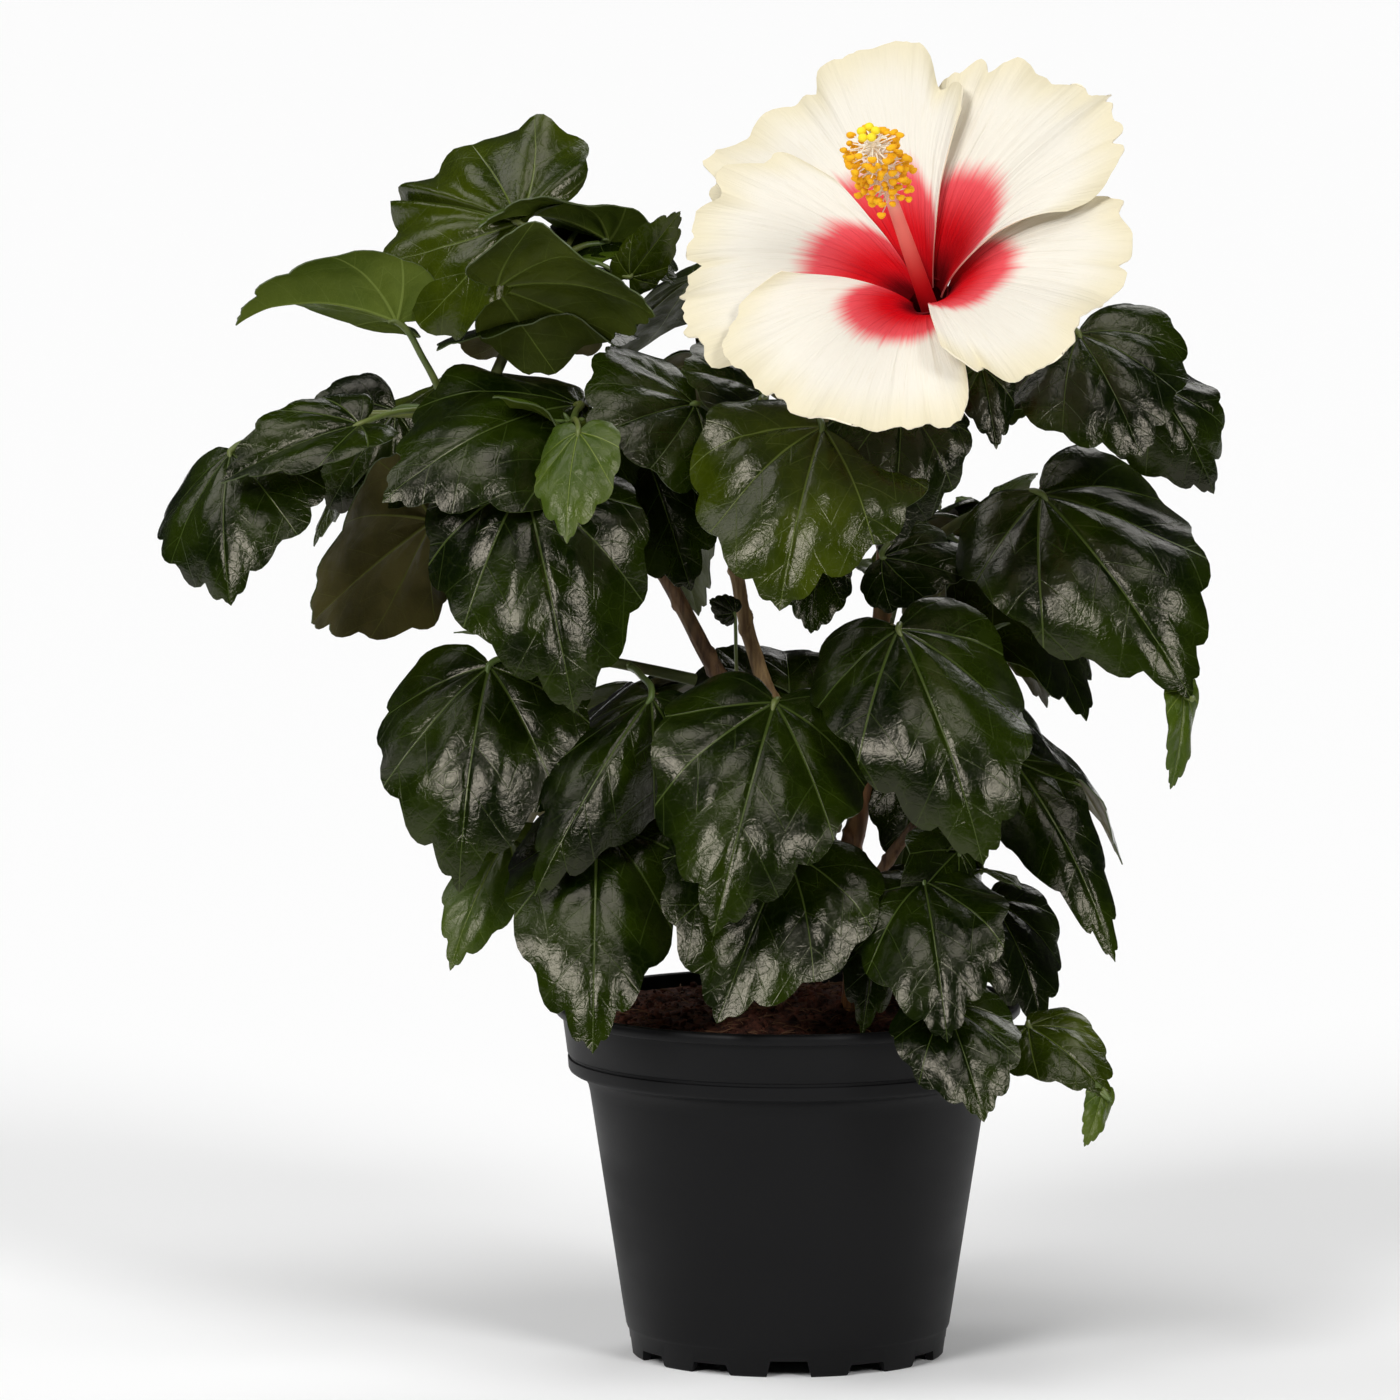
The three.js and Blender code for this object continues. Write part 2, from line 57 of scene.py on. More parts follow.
# %% Camera
CAMERA_PLACE = (-0.0246, -3.6, 0.63)
CAMERA_FALL = 7.065  # degrees below level
CAMERA_LENS = 334.7

bpy.ops.object.camera_add(location=CAMERA_PLACE, rotation=(math.radians(90 - CAMERA_FALL), 0, 0))
camera = bpy.context.object
camera.data.lens = CAMERA_LENS
camera.data.sensor_width = 36
camera.data.clip_end = 60
bpy.context.scene.camera = camera
bpy.context.scene.view_settings.view_transform = "Standard"

# %% Lights
# Each softbox: the way to it as azimuth (0 is the front, positive to the right) and height in
# degrees, how wide it looks in degrees, and its strength.
SOFTBOXES = {
    "front_left": (-34, 34, 22, 1.65),
    "high_left": (-104, 50, 34, 0.65),
    "front_right": (34, 30, 17, 1.1),
    "overhead": (10, 74, 34, 0.95),
    "behind": (160, 40, 30, 0.6),
}
for name, (azimuth, height, wide, strength) in SOFTBOXES.items():
    turn = (math.radians(90 - height), 0, math.radians(azimuth))
    bpy.ops.object.light_add(type="SUN", rotation=turn)
    lamp = bpy.context.object
    lamp.name = name
    lamp.data.angle = math.radians(wide)
    lamp.data.energy = strength
world = bpy.data.worlds.new("studio")
world.use_nodes = True
world.node_tree.nodes["Background"].inputs["Color"].default_value = (1.0, 0.98, 0.97, 1)
world.node_tree.nodes["Background"].inputs["Strength"].default_value = 0.03
bpy.context.scene.world = world
print("lights:", len(SOFTBOXES))

# %% [markdown]
# ## Helpers
#
# Leaves, petals, stems and soil are all bent sheets or tubes, so one helper makes a grid primitive
# and puts its vertices where a function says. Everything is deselected before an operator is used,
# because an operator acts on all that is selected.


# %% Select, finish, apply
def select(*objects):
    if bpy.context.object and bpy.context.object.mode != "OBJECT":
        bpy.ops.object.mode_set(mode="OBJECT")
    bpy.ops.object.select_all(action="DESELECT")
    for one in objects:
        one.select_set(True)
    bpy.context.view_layer.objects.active = objects[0]


def edit(obj, *steps):
    """Runs edit-mode operators, each a function with its settings, on all of the mesh."""
    select(obj)
    bpy.ops.object.mode_set(mode="EDIT")
    bpy.ops.mesh.select_all(action="SELECT")
    for operator, settings in steps:
        operator(**settings)
    bpy.ops.object.mode_set(mode="OBJECT")


def apply_modifier(obj, kind, **settings):
    select(obj)
    modifier = obj.modifiers.new(kind.lower(), kind)
    for key, value in settings.items():
        setattr(modifier, key, value)
    bpy.ops.object.modifier_apply(modifier=modifier.name)


def joined(name, pieces):
    select(*pieces)
    bpy.ops.object.join()
    obj = bpy.context.object
    obj.name = obj.data.name = name
    return obj


def finished(obj, name, replaced=()):
    """Names a piece, smooths it, and makes it ride on the plant's one body."""
    obj.name = obj.data.name = name
    select(obj)
    bpy.ops.object.shade_smooth_by_angle(angle=math.radians(50))
    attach(obj, "root")
    if replaced:
        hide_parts(*replaced)
    print(f"{name}: {sum(len(p.vertices) - 2 for p in obj.data.polygons)} triangles")
    return obj


# %% Sheets and tubes from a grid primitive
MERGE = {"threshold": 1e-6}
OUTWARD = {"inside": False}


def ball(subdivisions):
    bpy.ops.object.select_all(action="DESELECT")
    bpy.ops.mesh.primitive_ico_sphere_add(subdivisions=subdivisions, radius=1)
    return bpy.context.object


def sheet(columns, rows, place):
    """A grid whose vertices go where place(across, along) says: across from -1 to 1, along from 0 to 1."""
    bpy.ops.object.select_all(action="DESELECT")
    bpy.ops.mesh.primitive_grid_add(x_subdivisions=columns, y_subdivisions=rows, size=2)
    obj = bpy.context.object
    flat = np.empty(len(obj.data.vertices) * 3)
    obj.data.vertices.foreach_get("co", flat)
    flat = flat.reshape(-1, 3)
    obj.data.vertices.foreach_set("co", place(flat[:, 0], flat[:, 1] / 2 + 0.5).ravel())
    obj.data.update()
    return obj


def catmull(points, share):
    """Points at shares from 0 to 1 along a smooth line through the given points."""
    points = np.asarray(points, float)
    ends = np.vstack([2 * points[0] - points[1], points, 2 * points[-1] - points[-2]])
    place = np.clip(np.asarray(share, float), 0, 1) * (len(points) - 1)
    i = np.minimum(place.astype(int), len(points) - 2)
    t = (place - i)[..., None]
    a, b, c, d = (ends[i + k] for k in range(4))
    return 0.5 * (2 * b + (c - a) * t + (2 * a - 5 * b + 4 * c - d) * t**2 + (3 * b - a - 3 * c + d) * t**3)


def noise_at(places, size, seed=0.0):
    """Smooth noise from about -1 to 1 at each place, with features of the given size in metres."""
    shift = Vector((seed * 7.3, seed * 3.1, seed * 5.7))
    return np.array([noise.noise(Vector(p) / size + shift) for p in places])


def unit(vector):
    vector = np.asarray(vector, float)
    return vector / np.linalg.norm(vector)


def tube(line, foot, end, sides, rings, flare=1.0, relief=None):
    """A closed, tapering limb along a line of points in metres, with its relief on its skin."""
    def place(across, along):
        middle = catmull(line, along)
        ahead = catmull(line, along + 0.02) - catmull(line, along - 0.02)
        ahead /= np.linalg.norm(ahead, axis=1, keepdims=True)
        side = np.cross(ahead, (0.0, 1.0, 0.0))
        side /= np.linalg.norm(side, axis=1, keepdims=True)
        other = np.cross(side, ahead)
        angle = across * math.pi
        radius = (foot + (end - foot) * along) * (1 + (flare - 1) * np.exp(-along * 7))
        out = side * np.cos(angle)[:, None] + other * np.sin(angle)[:, None]
        if relief is not None:
            radius = radius + relief(middle + out * radius[:, None], angle, along)
        return middle + out * radius[:, None]

    obj = sheet(sides, rings, place)
    edit(obj, (bpy.ops.mesh.remove_doubles, MERGE), (bpy.ops.mesh.select_all, {"action": "DESELECT"}),
         (bpy.ops.mesh.select_non_manifold, {}), (bpy.ops.mesh.fill_holes, {"sides": 0}),
         (bpy.ops.mesh.select_all, {"action": "SELECT"}), (bpy.ops.mesh.normals_make_consistent, OUTWARD))
    return obj


def rods(lines, thick, sides=8, steps=5):
    """Many thin round rods as one mesh. Each line is a list of points, thick its radii there."""
    bpy.ops.object.select_all(action="DESELECT")
    bpy.ops.curve.primitive_bezier_curve_add()
    obj = bpy.context.object
    curve = obj.data
    curve.splines.clear()
    curve.bevel_depth = 1
    curve.bevel_resolution = (sides - 4) // 2
    curve.resolution_u = steps
    curve.use_fill_caps = True
    for points, radii in zip(lines, thick):
        spline = curve.splines.new("BEZIER")
        spline.bezier_points.add(len(points) - 1)
        for knot, place, radius in zip(spline.bezier_points, points, radii):
            knot.co = place
            knot.radius = radius
            knot.handle_left_type = knot.handle_right_type = "AUTO"
    select(obj)
    bpy.ops.object.convert(target="MESH")
    edit(bpy.context.object, (bpy.ops.mesh.remove_doubles, MERGE),
         (bpy.ops.mesh.normals_make_consistent, OUTWARD))
    return bpy.context.object


def scattered(prototype, matrices):
    """One mesh of many copies of a small prototype, which is then thrown away."""
    source = prototype.data
    corner = np.array([v.co for v in source.vertices])
    faces = [list(p.vertices) for p in source.polygons]
    vertices, polygons = [], []
    for matrix in matrices:
        m = np.array(matrix)
        polygons += [[i + len(vertices) * len(corner) for i in face] for face in faces]
        vertices.append(corner @ m[:3, :3].T + m[:3, 3])
    mesh = bpy.data.meshes.new(source.name)
    mesh.from_pydata(np.vstack(vertices).tolist(), [], polygons)
    obj = bpy.data.objects.new(source.name, mesh)
    bpy.context.collection.objects.link(obj)
    bpy.data.objects.remove(prototype)
    return obj


# %% Material helpers
def calc(tree, operation, *values):
    """A Math node on sockets or plain numbers."""
    node = tree.nodes.new("ShaderNodeMath")
    node.operation = operation
    for socket, value in zip(node.inputs, values):
        if isinstance(value, bpy.types.NodeSocket):
            tree.links.new(value, socket)
        else:
            socket.default_value = value
    return node.outputs[0]


def ramp(tree, value, low, high, start=0.0, end=1.0, smooth=True):
    """value from low..high brought to start..end."""
    node = tree.nodes.new("ShaderNodeMapRange")
    node.interpolation_type = "SMOOTHSTEP" if smooth else "LINEAR"
    for name, number in (("From Min", low), ("From Max", high), ("To Min", start), ("To Max", end)):
        node.inputs[name].default_value = number
    tree.links.new(value, node.inputs["Value"])
    return node.outputs["Result"]


def blend(tree, share, one, other):
    """One colour turning into another by share. A colour is a socket or three numbers."""
    node = tree.nodes.new("ShaderNodeMix")
    node.data_type = "RGBA"
    tree.links.new(share, node.inputs["Factor"])
    colours = [s for s in node.inputs if s.type == "RGBA"]
    for socket, value in zip(colours, (one, other)):
        if isinstance(value, bpy.types.NodeSocket):
            tree.links.new(value, socket)
        else:
            socket.default_value = (*value, 1)
    return next(s for s in node.outputs if s.type == "RGBA")


def speckle(tree, where, scale, detail=3.0, rough=0.5):
    node = tree.nodes.new("ShaderNodeTexNoise")
    node.inputs["Scale"].default_value = scale
    node.inputs["Detail"].default_value = detail
    node.inputs["Roughness"].default_value = rough
    tree.links.new(where, node.inputs["Vector"])
    return node.outputs["Fac"]


def stretched(tree, where, scale):
    """A pattern's place, stretched by scale on each axis."""
    node = tree.nodes.new("ShaderNodeMapping")
    node.inputs["Scale"].default_value = scale
    tree.links.new(where, node.inputs["Vector"])
    return node.outputs["Vector"]


def new_material(name, rough=0.5, gloss=0.5, **sockets):
    material = bpy.data.materials.new(name)
    material.use_nodes = True
    shader = material.node_tree.nodes["Principled BSDF"]
    shader.inputs["Roughness"].default_value = rough
    shader.inputs["Specular IOR Level"].default_value = gloss
    for key, value in sockets.items():
        shader.inputs[key.replace("_", " ")].default_value = value
    return material, material.node_tree, shader


def object_place(tree):
    return tree.nodes.new("ShaderNodeTexCoord").outputs["Object"]


def own_map(tree, name):
    node = tree.nodes.new("ShaderNodeUVMap")
    node.uv_map = name
    return node.outputs["UV"]


def map_sides(tree, where):
    """The across and along parts of a place on a map."""
    split = tree.nodes.new("ShaderNodeSeparateXYZ")
    tree.links.new(where, split.inputs[0])
    return split.outputs["X"], split.outputs["Y"]


def coloured(tree, shader, colour):
    tree.links.new(colour, shader.inputs["Base Color"])


def bumped(tree, shader, height, strength, distance):
    node = tree.nodes.new("ShaderNodeBump")
    node.inputs["Strength"].default_value = strength
    node.inputs["Distance"].default_value = distance
    tree.links.new(height, node.inputs["Height"])
    tree.links.new(node.outputs["Normal"], shader.inputs["Normal"])


# %% The floor
floor_material, tree, shader = new_material("floor", rough=0.9, gloss=0.1)
shader.inputs["Base Color"].default_value = (0.93, 0.93, 0.93, 1)
FLOOR_SIZE = 40
bpy.ops.object.select_all(action="DESELECT")
bpy.ops.mesh.primitive_plane_add(size=FLOOR_SIZE)
floor = bpy.context.object
floor.name = "floor"
floor.data.materials.append(floor_material)

# %% [markdown]
# ## The pot
#
# The real pot is blow-moulded black plastic: a deep collar with a bead, a tapered body and a ring of
# small feet. A round thing like this can be spun, or grown ring by ring from a circle. Growing it
# ring by ring keeps the profile readable, as a list of radii and heights from the middle of the
# underside, up the outside, over the lip and down the inside.

# %% Pot profile
POT_SIDES = 128
POT_PROFILE = [
    (11.4, 0), (12, 0.5), (12.6, 5), (40.9, 5), (41.3, 0.4), (41.8, 0), (43.3, 0), (43.8, 0.5),
    (44.6, 7.2), (45.0, 7.6), (45.3, 8.4), (46.2, 14), (55.4, 74), (55.9, 76.2), (56.9, 78), (58.6, 79.3),
    (60.4, 79.8), (61.1, 80.3), (61.4, 81), (61.6, 83.8), (61.1, 84.1), (61.1, 84.8), (61.7, 85.2),
    (63.0, 94.9), (63.2, 95.7), (64.4, 95.9), (64.9, 96.4), (65, 97.4), (64.8, 98.5), (64.2, 99),
    (62.9, 99), (62.4, 98.6), (62.1, 97.6), (61.7, 93), (59.9, 81), (54.6, 76), (43.9, 6.4), (40, 6.3),
]


def turned(profile, sides):
    """Grows a round body ring by ring. The first and last rings are closed at the axis."""
    radius, height = (value * MM for value in profile[0])
    bpy.ops.object.select_all(action="DESELECT")
    bpy.ops.mesh.primitive_circle_add(vertices=sides, radius=radius, location=(0, 0, height),
                                      fill_type="TRIFAN")
    obj = bpy.context.object
    select(obj)
    bpy.ops.object.transform_apply(location=True, rotation=True, scale=True)
    bpy.ops.object.mode_set(mode="EDIT")
    bpy.ops.mesh.select_all(action="DESELECT")
    bpy.ops.mesh.select_non_manifold()
    for next_radius, next_height in profile[1:]:
        rise = next_height * MM - height
        bpy.ops.mesh.extrude_region_move(TRANSFORM_OT_translate={"value": (0, 0, rise)})
        grow = next_radius * MM / radius
        bpy.ops.transform.resize(value=(grow, grow, 1), center_override=(0, 0, next_height * MM))
        radius, height = next_radius * MM, next_height * MM
    bpy.ops.mesh.extrude_region_move()
    bpy.ops.mesh.merge(type="CENTER")
    bpy.ops.mesh.select_all(action="SELECT")
    bpy.ops.mesh.normals_make_consistent(inside=False)
    bpy.ops.object.mode_set(mode="OBJECT")
    return obj


# %% Feet and drains, cut from the ring
FOOT_GAPS = 12
RING_MIDDLE = 42.6 * MM
GAP_WIDTH, GAP_DEPTH = 12.4 * MM, 8 * MM
GAP_LEAN = 0.82  # the breadth of a gap at its top, as a share of its breadth halfway
DRAIN_EVERY = 3
GAP_HEIGHT, DRAIN_HEIGHT = 3 * MM, 4.6 * MM

pot = turned(POT_PROFILE, POT_SIDES)
cutters = []
for i in range(FOOT_GAPS):
    drain = i % DRAIN_EVERY == 0
    tall = 2 * (DRAIN_HEIGHT if drain else GAP_HEIGHT)
    bpy.ops.object.select_all(action="DESELECT")
    bpy.ops.mesh.primitive_cube_add(size=1, scale=(GAP_DEPTH, GAP_WIDTH, tall), location=(RING_MIDDLE, 0, 0))
    cutter = bpy.context.object
    select(cutter)
    bpy.ops.object.transform_apply(location=True, rotation=True, scale=True)
    for vertex in cutter.data.vertices:
        vertex.co.y *= GAP_LEAN if vertex.co.z > 0 else 2 - GAP_LEAN
    cutter.data.transform(Matrix.Rotation(2 * math.pi * i / FOOT_GAPS, 4, "Z"))
    cutters.append(cutter)
cutter = joined("cutter", cutters)
apply_modifier(pot, "BOOLEAN", object=cutter, operation="DIFFERENCE", solver="EXACT")
bpy.data.objects.remove(cutter)

# %% Pot plastic
plastic, tree, shader = new_material("pot_plastic", rough=0.5, gloss=0.12)
place = object_place(tree)
grain = speckle(tree, place, 1400, 4)
smear = speckle(tree, stretched(tree, place, (14, 14, 40)), 1.0, 4)
coloured(tree, shader, blend(tree, smear, (0.0044, 0.0044, 0.0048), (0.0074, 0.0074, 0.0078)))
tree.links.new(ramp(tree, smear, 0.3, 0.75, 0.42, 0.56), shader.inputs["Roughness"])
bumped(tree, shader, grain, 0.12, 0.0002)
pot.data.materials.append(plastic)
finished(pot, "pot_shell", ["pot"])

# %% [markdown]
# ## The soil
#
# Damp peat is a dark, crumbly surface with lumps, bark chips and short pale fibres. A displaced disc
# gives the ground, and seeded lumps and fibres are laid on it as small joined meshes.

# %% Soil surface
SOIL_RADIUS = 60.9 * MM
SOIL_EDGE, SOIL_RISE = 95.4 * MM, 1.8 * MM
GROUND_THICKNESS = 3 * MM
LUMP_SIZE = 3.2 * MM


def soil_height(x, y):
    spots = np.stack([x, y, np.zeros_like(x)], axis=1)
    crown = SOIL_EDGE + SOIL_RISE * (1 - (np.hypot(x, y) / SOIL_RADIUS) ** 2)
    return crown + 0.7 * MM * noise_at(spots, LUMP_SIZE, 1) + 0.5 * MM * noise_at(spots, LUMP_SIZE / 3, 2)


def soil_place(across, along):
    x = SOIL_RADIUS * along * np.cos(across * math.pi)
    y = SOIL_RADIUS * along * np.sin(across * math.pi)
    return np.stack([x, y, soil_height(x, y)], axis=1)


soil = sheet(150, 46, soil_place)
edit(soil, (bpy.ops.mesh.remove_doubles, MERGE), (bpy.ops.mesh.normals_make_consistent, OUTWARD))
if sum(p.normal.z for p in soil.data.polygons) < 0:
    edit(soil, (bpy.ops.mesh.flip_normals, {}))
apply_modifier(soil, "SOLIDIFY", thickness=GROUND_THICKNESS, offset=-1)

peat, tree, shader = new_material("peat", rough=0.92, gloss=0.25)
place = object_place(tree)
tone = speckle(tree, place, 260, 6, 0.7)
brown = blend(tree, ramp(tree, tone, 0.35, 0.7), (0.018, 0.0060, 0.0040), (0.160, 0.052, 0.030))
coloured(tree, shader, brown)
bumped(tree, shader, speckle(tree, place, 900, 6, 0.7), 0.8, 0.0008)
soil.data.materials.append(peat)
finished(soil, "peat_ground", ["soil"])

# %% Lumps and fibres
rng = random.Random(11)


def on_soil(reach=0.93):
    radius = SOIL_RADIUS * reach * math.sqrt(rng.random())
    turn = rng.uniform(0, 2 * math.pi)
    x, y = radius * math.cos(turn), radius * math.sin(turn)
    return Vector((x, y, soil_height(np.array([x]), np.array([y]))[0]))


def tumbled(place, size):
    turn = Matrix.Rotation(rng.uniform(0, 6.3), 4, "Z") @ Matrix.Rotation(rng.uniform(-0.6, 0.6), 4, "X")
    return Matrix.Translation(place) @ turn @ Matrix.Diagonal((*size, 1))


LUMPS = 1500
lump = ball(1)
spots = []
for _ in range(LUMPS):
    big = 0.45 + 1.5 * rng.random() ** 4
    size = [big * MM * rng.uniform(0.6, 1.4) for _ in range(3)]
    spots.append(tumbled(on_soil(), size))
lumps = scattered(lump, spots)
lumps.data.materials.append(peat)
finished(lumps, "peat_lumps")

FIBRES = 260
lines = []
for _ in range(FIBRES):
    start = on_soil(0.94)
    turn = rng.uniform(0, 2 * math.pi)
    long = rng.uniform(2, 7) * MM
    ahead = Vector((math.cos(turn), math.sin(turn), rng.uniform(0, 0.25))) * long
    bow = Vector((rng.uniform(-1, 1), rng.uniform(-1, 1), 0.6)) * long * 0.12
    start.z += 0.5 * MM
    lines.append([start, start + ahead * 0.5 + bow, start + ahead])
fibres = rods(lines, [[0.16 * MM, 0.2 * MM, 0.1 * MM]] * FIBRES, sides=4, steps=2)
fibre, tree, shader = new_material("peat_fibre", rough=0.85, gloss=0.3)
tone = speckle(tree, object_place(tree), 90)
coloured(tree, shader, blend(tree, tone, (0.05, 0.020, 0.010), (0.24, 0.12, 0.06)))
fibres.data.materials.append(fibre)
finished(fibres, "peat_fibres")

# %% [markdown]
# ## Trunk and boughs
#
# The woody stems are tapering tubes that follow the lines of the frame's limbs. Real bark isn't
# smooth: it has shallow furrows, small corky dots, and a ring at each place where a leaf once sat.
# That relief is in the mesh, and a finer grain is in the bark's finish.

# %% Limb lines
# Each limb: its line in millimetres, its radius at foot and end, and its flare at the foot.
LIMBS = {
    "trunk": ([(21, 2, 94), (19.5, 2, 112), (16, 3, 128), (14, 4, 141)], 4.4, 3.8, 1.7),
    "left_bough": ([(15, 4, 134), (-3, 1, 166), (-20, -1, 192), (-34, 0, 218), (-47, 3, 236)],
                   2.8, 1.8, 1.1),
    "middle_bough": ([(15, 5, 134), (1, 12, 168), (-10, 15, 197), (-15, 15, 220), (-20, 14, 238)],
                     2.4, 1.7, 1.1),
    "flower_bough": ([(14, 3, 133), (20, 5, 153), (26, 6, 206), (28, 9, 240), (37, 3, 265), (44, -14, 277)],
                     3.1, 1.5, 1.1),
    "right_bough": ([(17, 2, 117), (27, -6, 138), (36, -14, 152)], 2.3, 1.3, 1.3),
    "back_bough": ([(15, 4, 132), (22, 18, 158), (30, 32, 178)], 2.6, 1.7, 1.1),
}
BARK_SIDES = 40
RINGS_PER_MM = 1.1
SCAR_EVERY = 21 * MM  # between old leaf scars
LIMB_LINES = {name: np.array(line) * MM for name, (line, *_) in LIMBS.items()}


def bark_relief(length, seed):
    """Furrows along the limb, corky dots and the swollen rings of old leaf scars."""
    def relief(places, angle, along):
        run = along * length
        skin = np.stack([np.cos(angle) * 4 * MM, np.sin(angle) * 4 * MM, run / 5], axis=1)
        furrows = 0.26 * MM * noise_at(skin, 1.5 * MM, seed)
        dots = 0.4 * MM * np.maximum(0, noise_at(places, 1.6 * MM, seed + 3) - 0.45)
        scar = np.abs((run / SCAR_EVERY + 0.15 * np.sin(angle + 5 * np.round(run / SCAR_EVERY))) % 1 - 0.5)
        return furrows + dots + 0.55 * MM * np.exp(-(((scar - 0.5) / 0.045) ** 2))
    return relief


def bark(name, young, old, green):
    """Bark that is brown, streaked along the limb, and greener where green is nearer 1."""
    material, tree, shader = new_material(name, rough=0.62, gloss=0.35)
    place = object_place(tree)
    streak = speckle(tree, stretched(tree, place, (520, 520, 60)), 1, 5, 0.65)
    patch = speckle(tree, place, 70, 3)
    brown = blend(tree, ramp(tree, streak, 0.36, 0.66), old, young)
    moss = ramp(tree, patch, 0.62 - 0.3 * green, 0.8 - 0.3 * green, 0, green)
    coloured(tree, shader, blend(tree, moss, brown, (0.06, 0.075, 0.015)))
    bumped(tree, shader, streak, 0.5, 0.0004)
    return material


BARKS = {
    "trunk": bark("old_bark", (0.36, 0.15, 0.045), (0.12, 0.042, 0.014), 0.0),
    "left_bough": bark("brown_bark", (0.17, 0.092, 0.040), (0.060, 0.028, 0.012), 0.2),
    "middle_bough": bark("pale_bark", (0.31, 0.20, 0.085), (0.14, 0.078, 0.030), 0.2),
    "flower_bough": bark("old_bough_bark", (0.25, 0.115, 0.042), (0.095, 0.038, 0.014), 0.4),
    "shoots": bark("green_bark", (0.110, 0.095, 0.026), (0.055, 0.048, 0.014), 1.0),
}

# %% Limbs
for seed, (name, (_, foot, end, flare)) in enumerate(LIMBS.items()):
    points = LIMB_LINES[name]
    length = float(np.linalg.norm(np.diff(points, axis=0), axis=1).sum())
    rings = int(length / MM * RINGS_PER_MM)
    body = tube(points, foot * MM, end * MM, BARK_SIDES, rings, flare, bark_relief(length, seed))
    body.data.materials.append(BARKS.get(name, BARKS["left_bough"]))
    finished(body, f"{name}_bark", [name])

# %% [markdown]
# ## Leaves
#
# A hibiscus leaf is a broad blade with a scalloped edge. Five main veins run out from its stalk, side
# veins branch off them, and the skin bulges up between the veins, which gives the leaf its broken
# shine. One flat grid is fanned out around the stalk's end, so its rows run out to the scalloped
# outline. The same sums give the veins in the mesh and the pale veins in the finish. Every leaf has
# its own scallops and waves, and is bent along an arc from its base to its tip.

# %% The blade's outline and veins
# From the tip to the notch at the stalk: half-breadth, and distance from the base as a share of length.
OUTLINE = [(0, 1.0), (0.09, 0.955), (0.27, 0.87), (0.58, 0.72), (0.86, 0.51), (0.99, 0.28), (0.97, 0.06),
           (0.74, -0.13), (0.38, -0.16), (0.10, -0.07), (0, 0)]
TEETH = 8.5  # along each side
TOOTH_DEPTH = 0.088
MAIN_VEINS = (0.0, 0.70, 1.38)  # radians away from the midrib, at the stalk
VEIN_BOW = 0.35  # how much the outer veins bow towards the tip
SIDE_VEIN_EVERY = 0.19  # as a share of the leaf's length
SIDE_VEIN_LEAN = 0.85
# Heights as shares of the leaf's length: of the panels between main veins, of the pillows between
# side veins, of the crumpled skin, and of the groove along a main vein.
PANEL, PILLOW, CRUMPLE, GROOVE = 0.028, 0.006, 0.016, 0.008
BLADE_THICKNESS = 0.4 * MM
WAVE_LEAST, WAVE_MOST = 0.05, 0.09  # height of a blade's waves, as a share of its length
TWIST = 9  # degrees that a blade turns from its base to its tip, at most


def outline(across, phase):
    side = np.abs(across)
    half, ahead = catmull(OUTLINE, side).T
    uneven = 0.35 * np.sin(7 * across + phase)
    tooth = np.abs(np.sin(math.pi * TEETH * side**0.92 + uneven)) ** 0.75 - 0.6
    tooth += 0.35 * np.sin(5 * across + 2 * phase)
    inside = np.clip((side - 0.05) / 0.16, 0, 1) * np.clip((0.92 - side) / 0.1, 0, 1)
    out = 1 + TOOTH_DEPTH * tooth * inside
    return half * np.sign(across) * out, ahead * out


def vein_distances(x, y):
    """Distance to the nearest main vein and side vein, all as shares of the leaf's length."""
    reach = np.hypot(x, y)
    away = np.arctan2(np.abs(x), y) * (1 + VEIN_BOW * reach)
    turn = np.min([np.abs(away - vein) for vein in MAIN_VEINS], axis=0)
    main = reach * np.sin(turn)
    place = (reach * np.cos(turn) - SIDE_VEIN_LEAN * main) / SIDE_VEIN_EVERY
    side = np.abs(place - np.round(place)) * SIDE_VEIN_EVERY * 0.75
    return main, side


def leaf_relief(x, y, share, phase):
    main, side = vein_distances(x, y)
    panel = PANEL * (1 - np.exp(-((main / 0.11) ** 2))) * (1 - share**4)
    pillow = PILLOW * (1 - np.exp(-((np.minimum(main, side) / 0.035) ** 2))) * (1 - share**6)
    places = np.stack([x, y, np.full_like(x, phase)], axis=1)
    crumple = CRUMPLE * (noise_at(places, 0.24) + 0.35 * noise_at(places, 0.09)) * share
    fade = np.clip(np.hypot(x, y) / 0.14, 0, 1)
    return (panel + pillow + crumple) * fade - GROOVE * np.exp(-((main / 0.014) ** 2)) * (1 - share**3)


# %% One leaf
FINE_GRID, PLAIN_GRID, YOUNG_GRID = (100, 26), (72, 18), (40, 12)


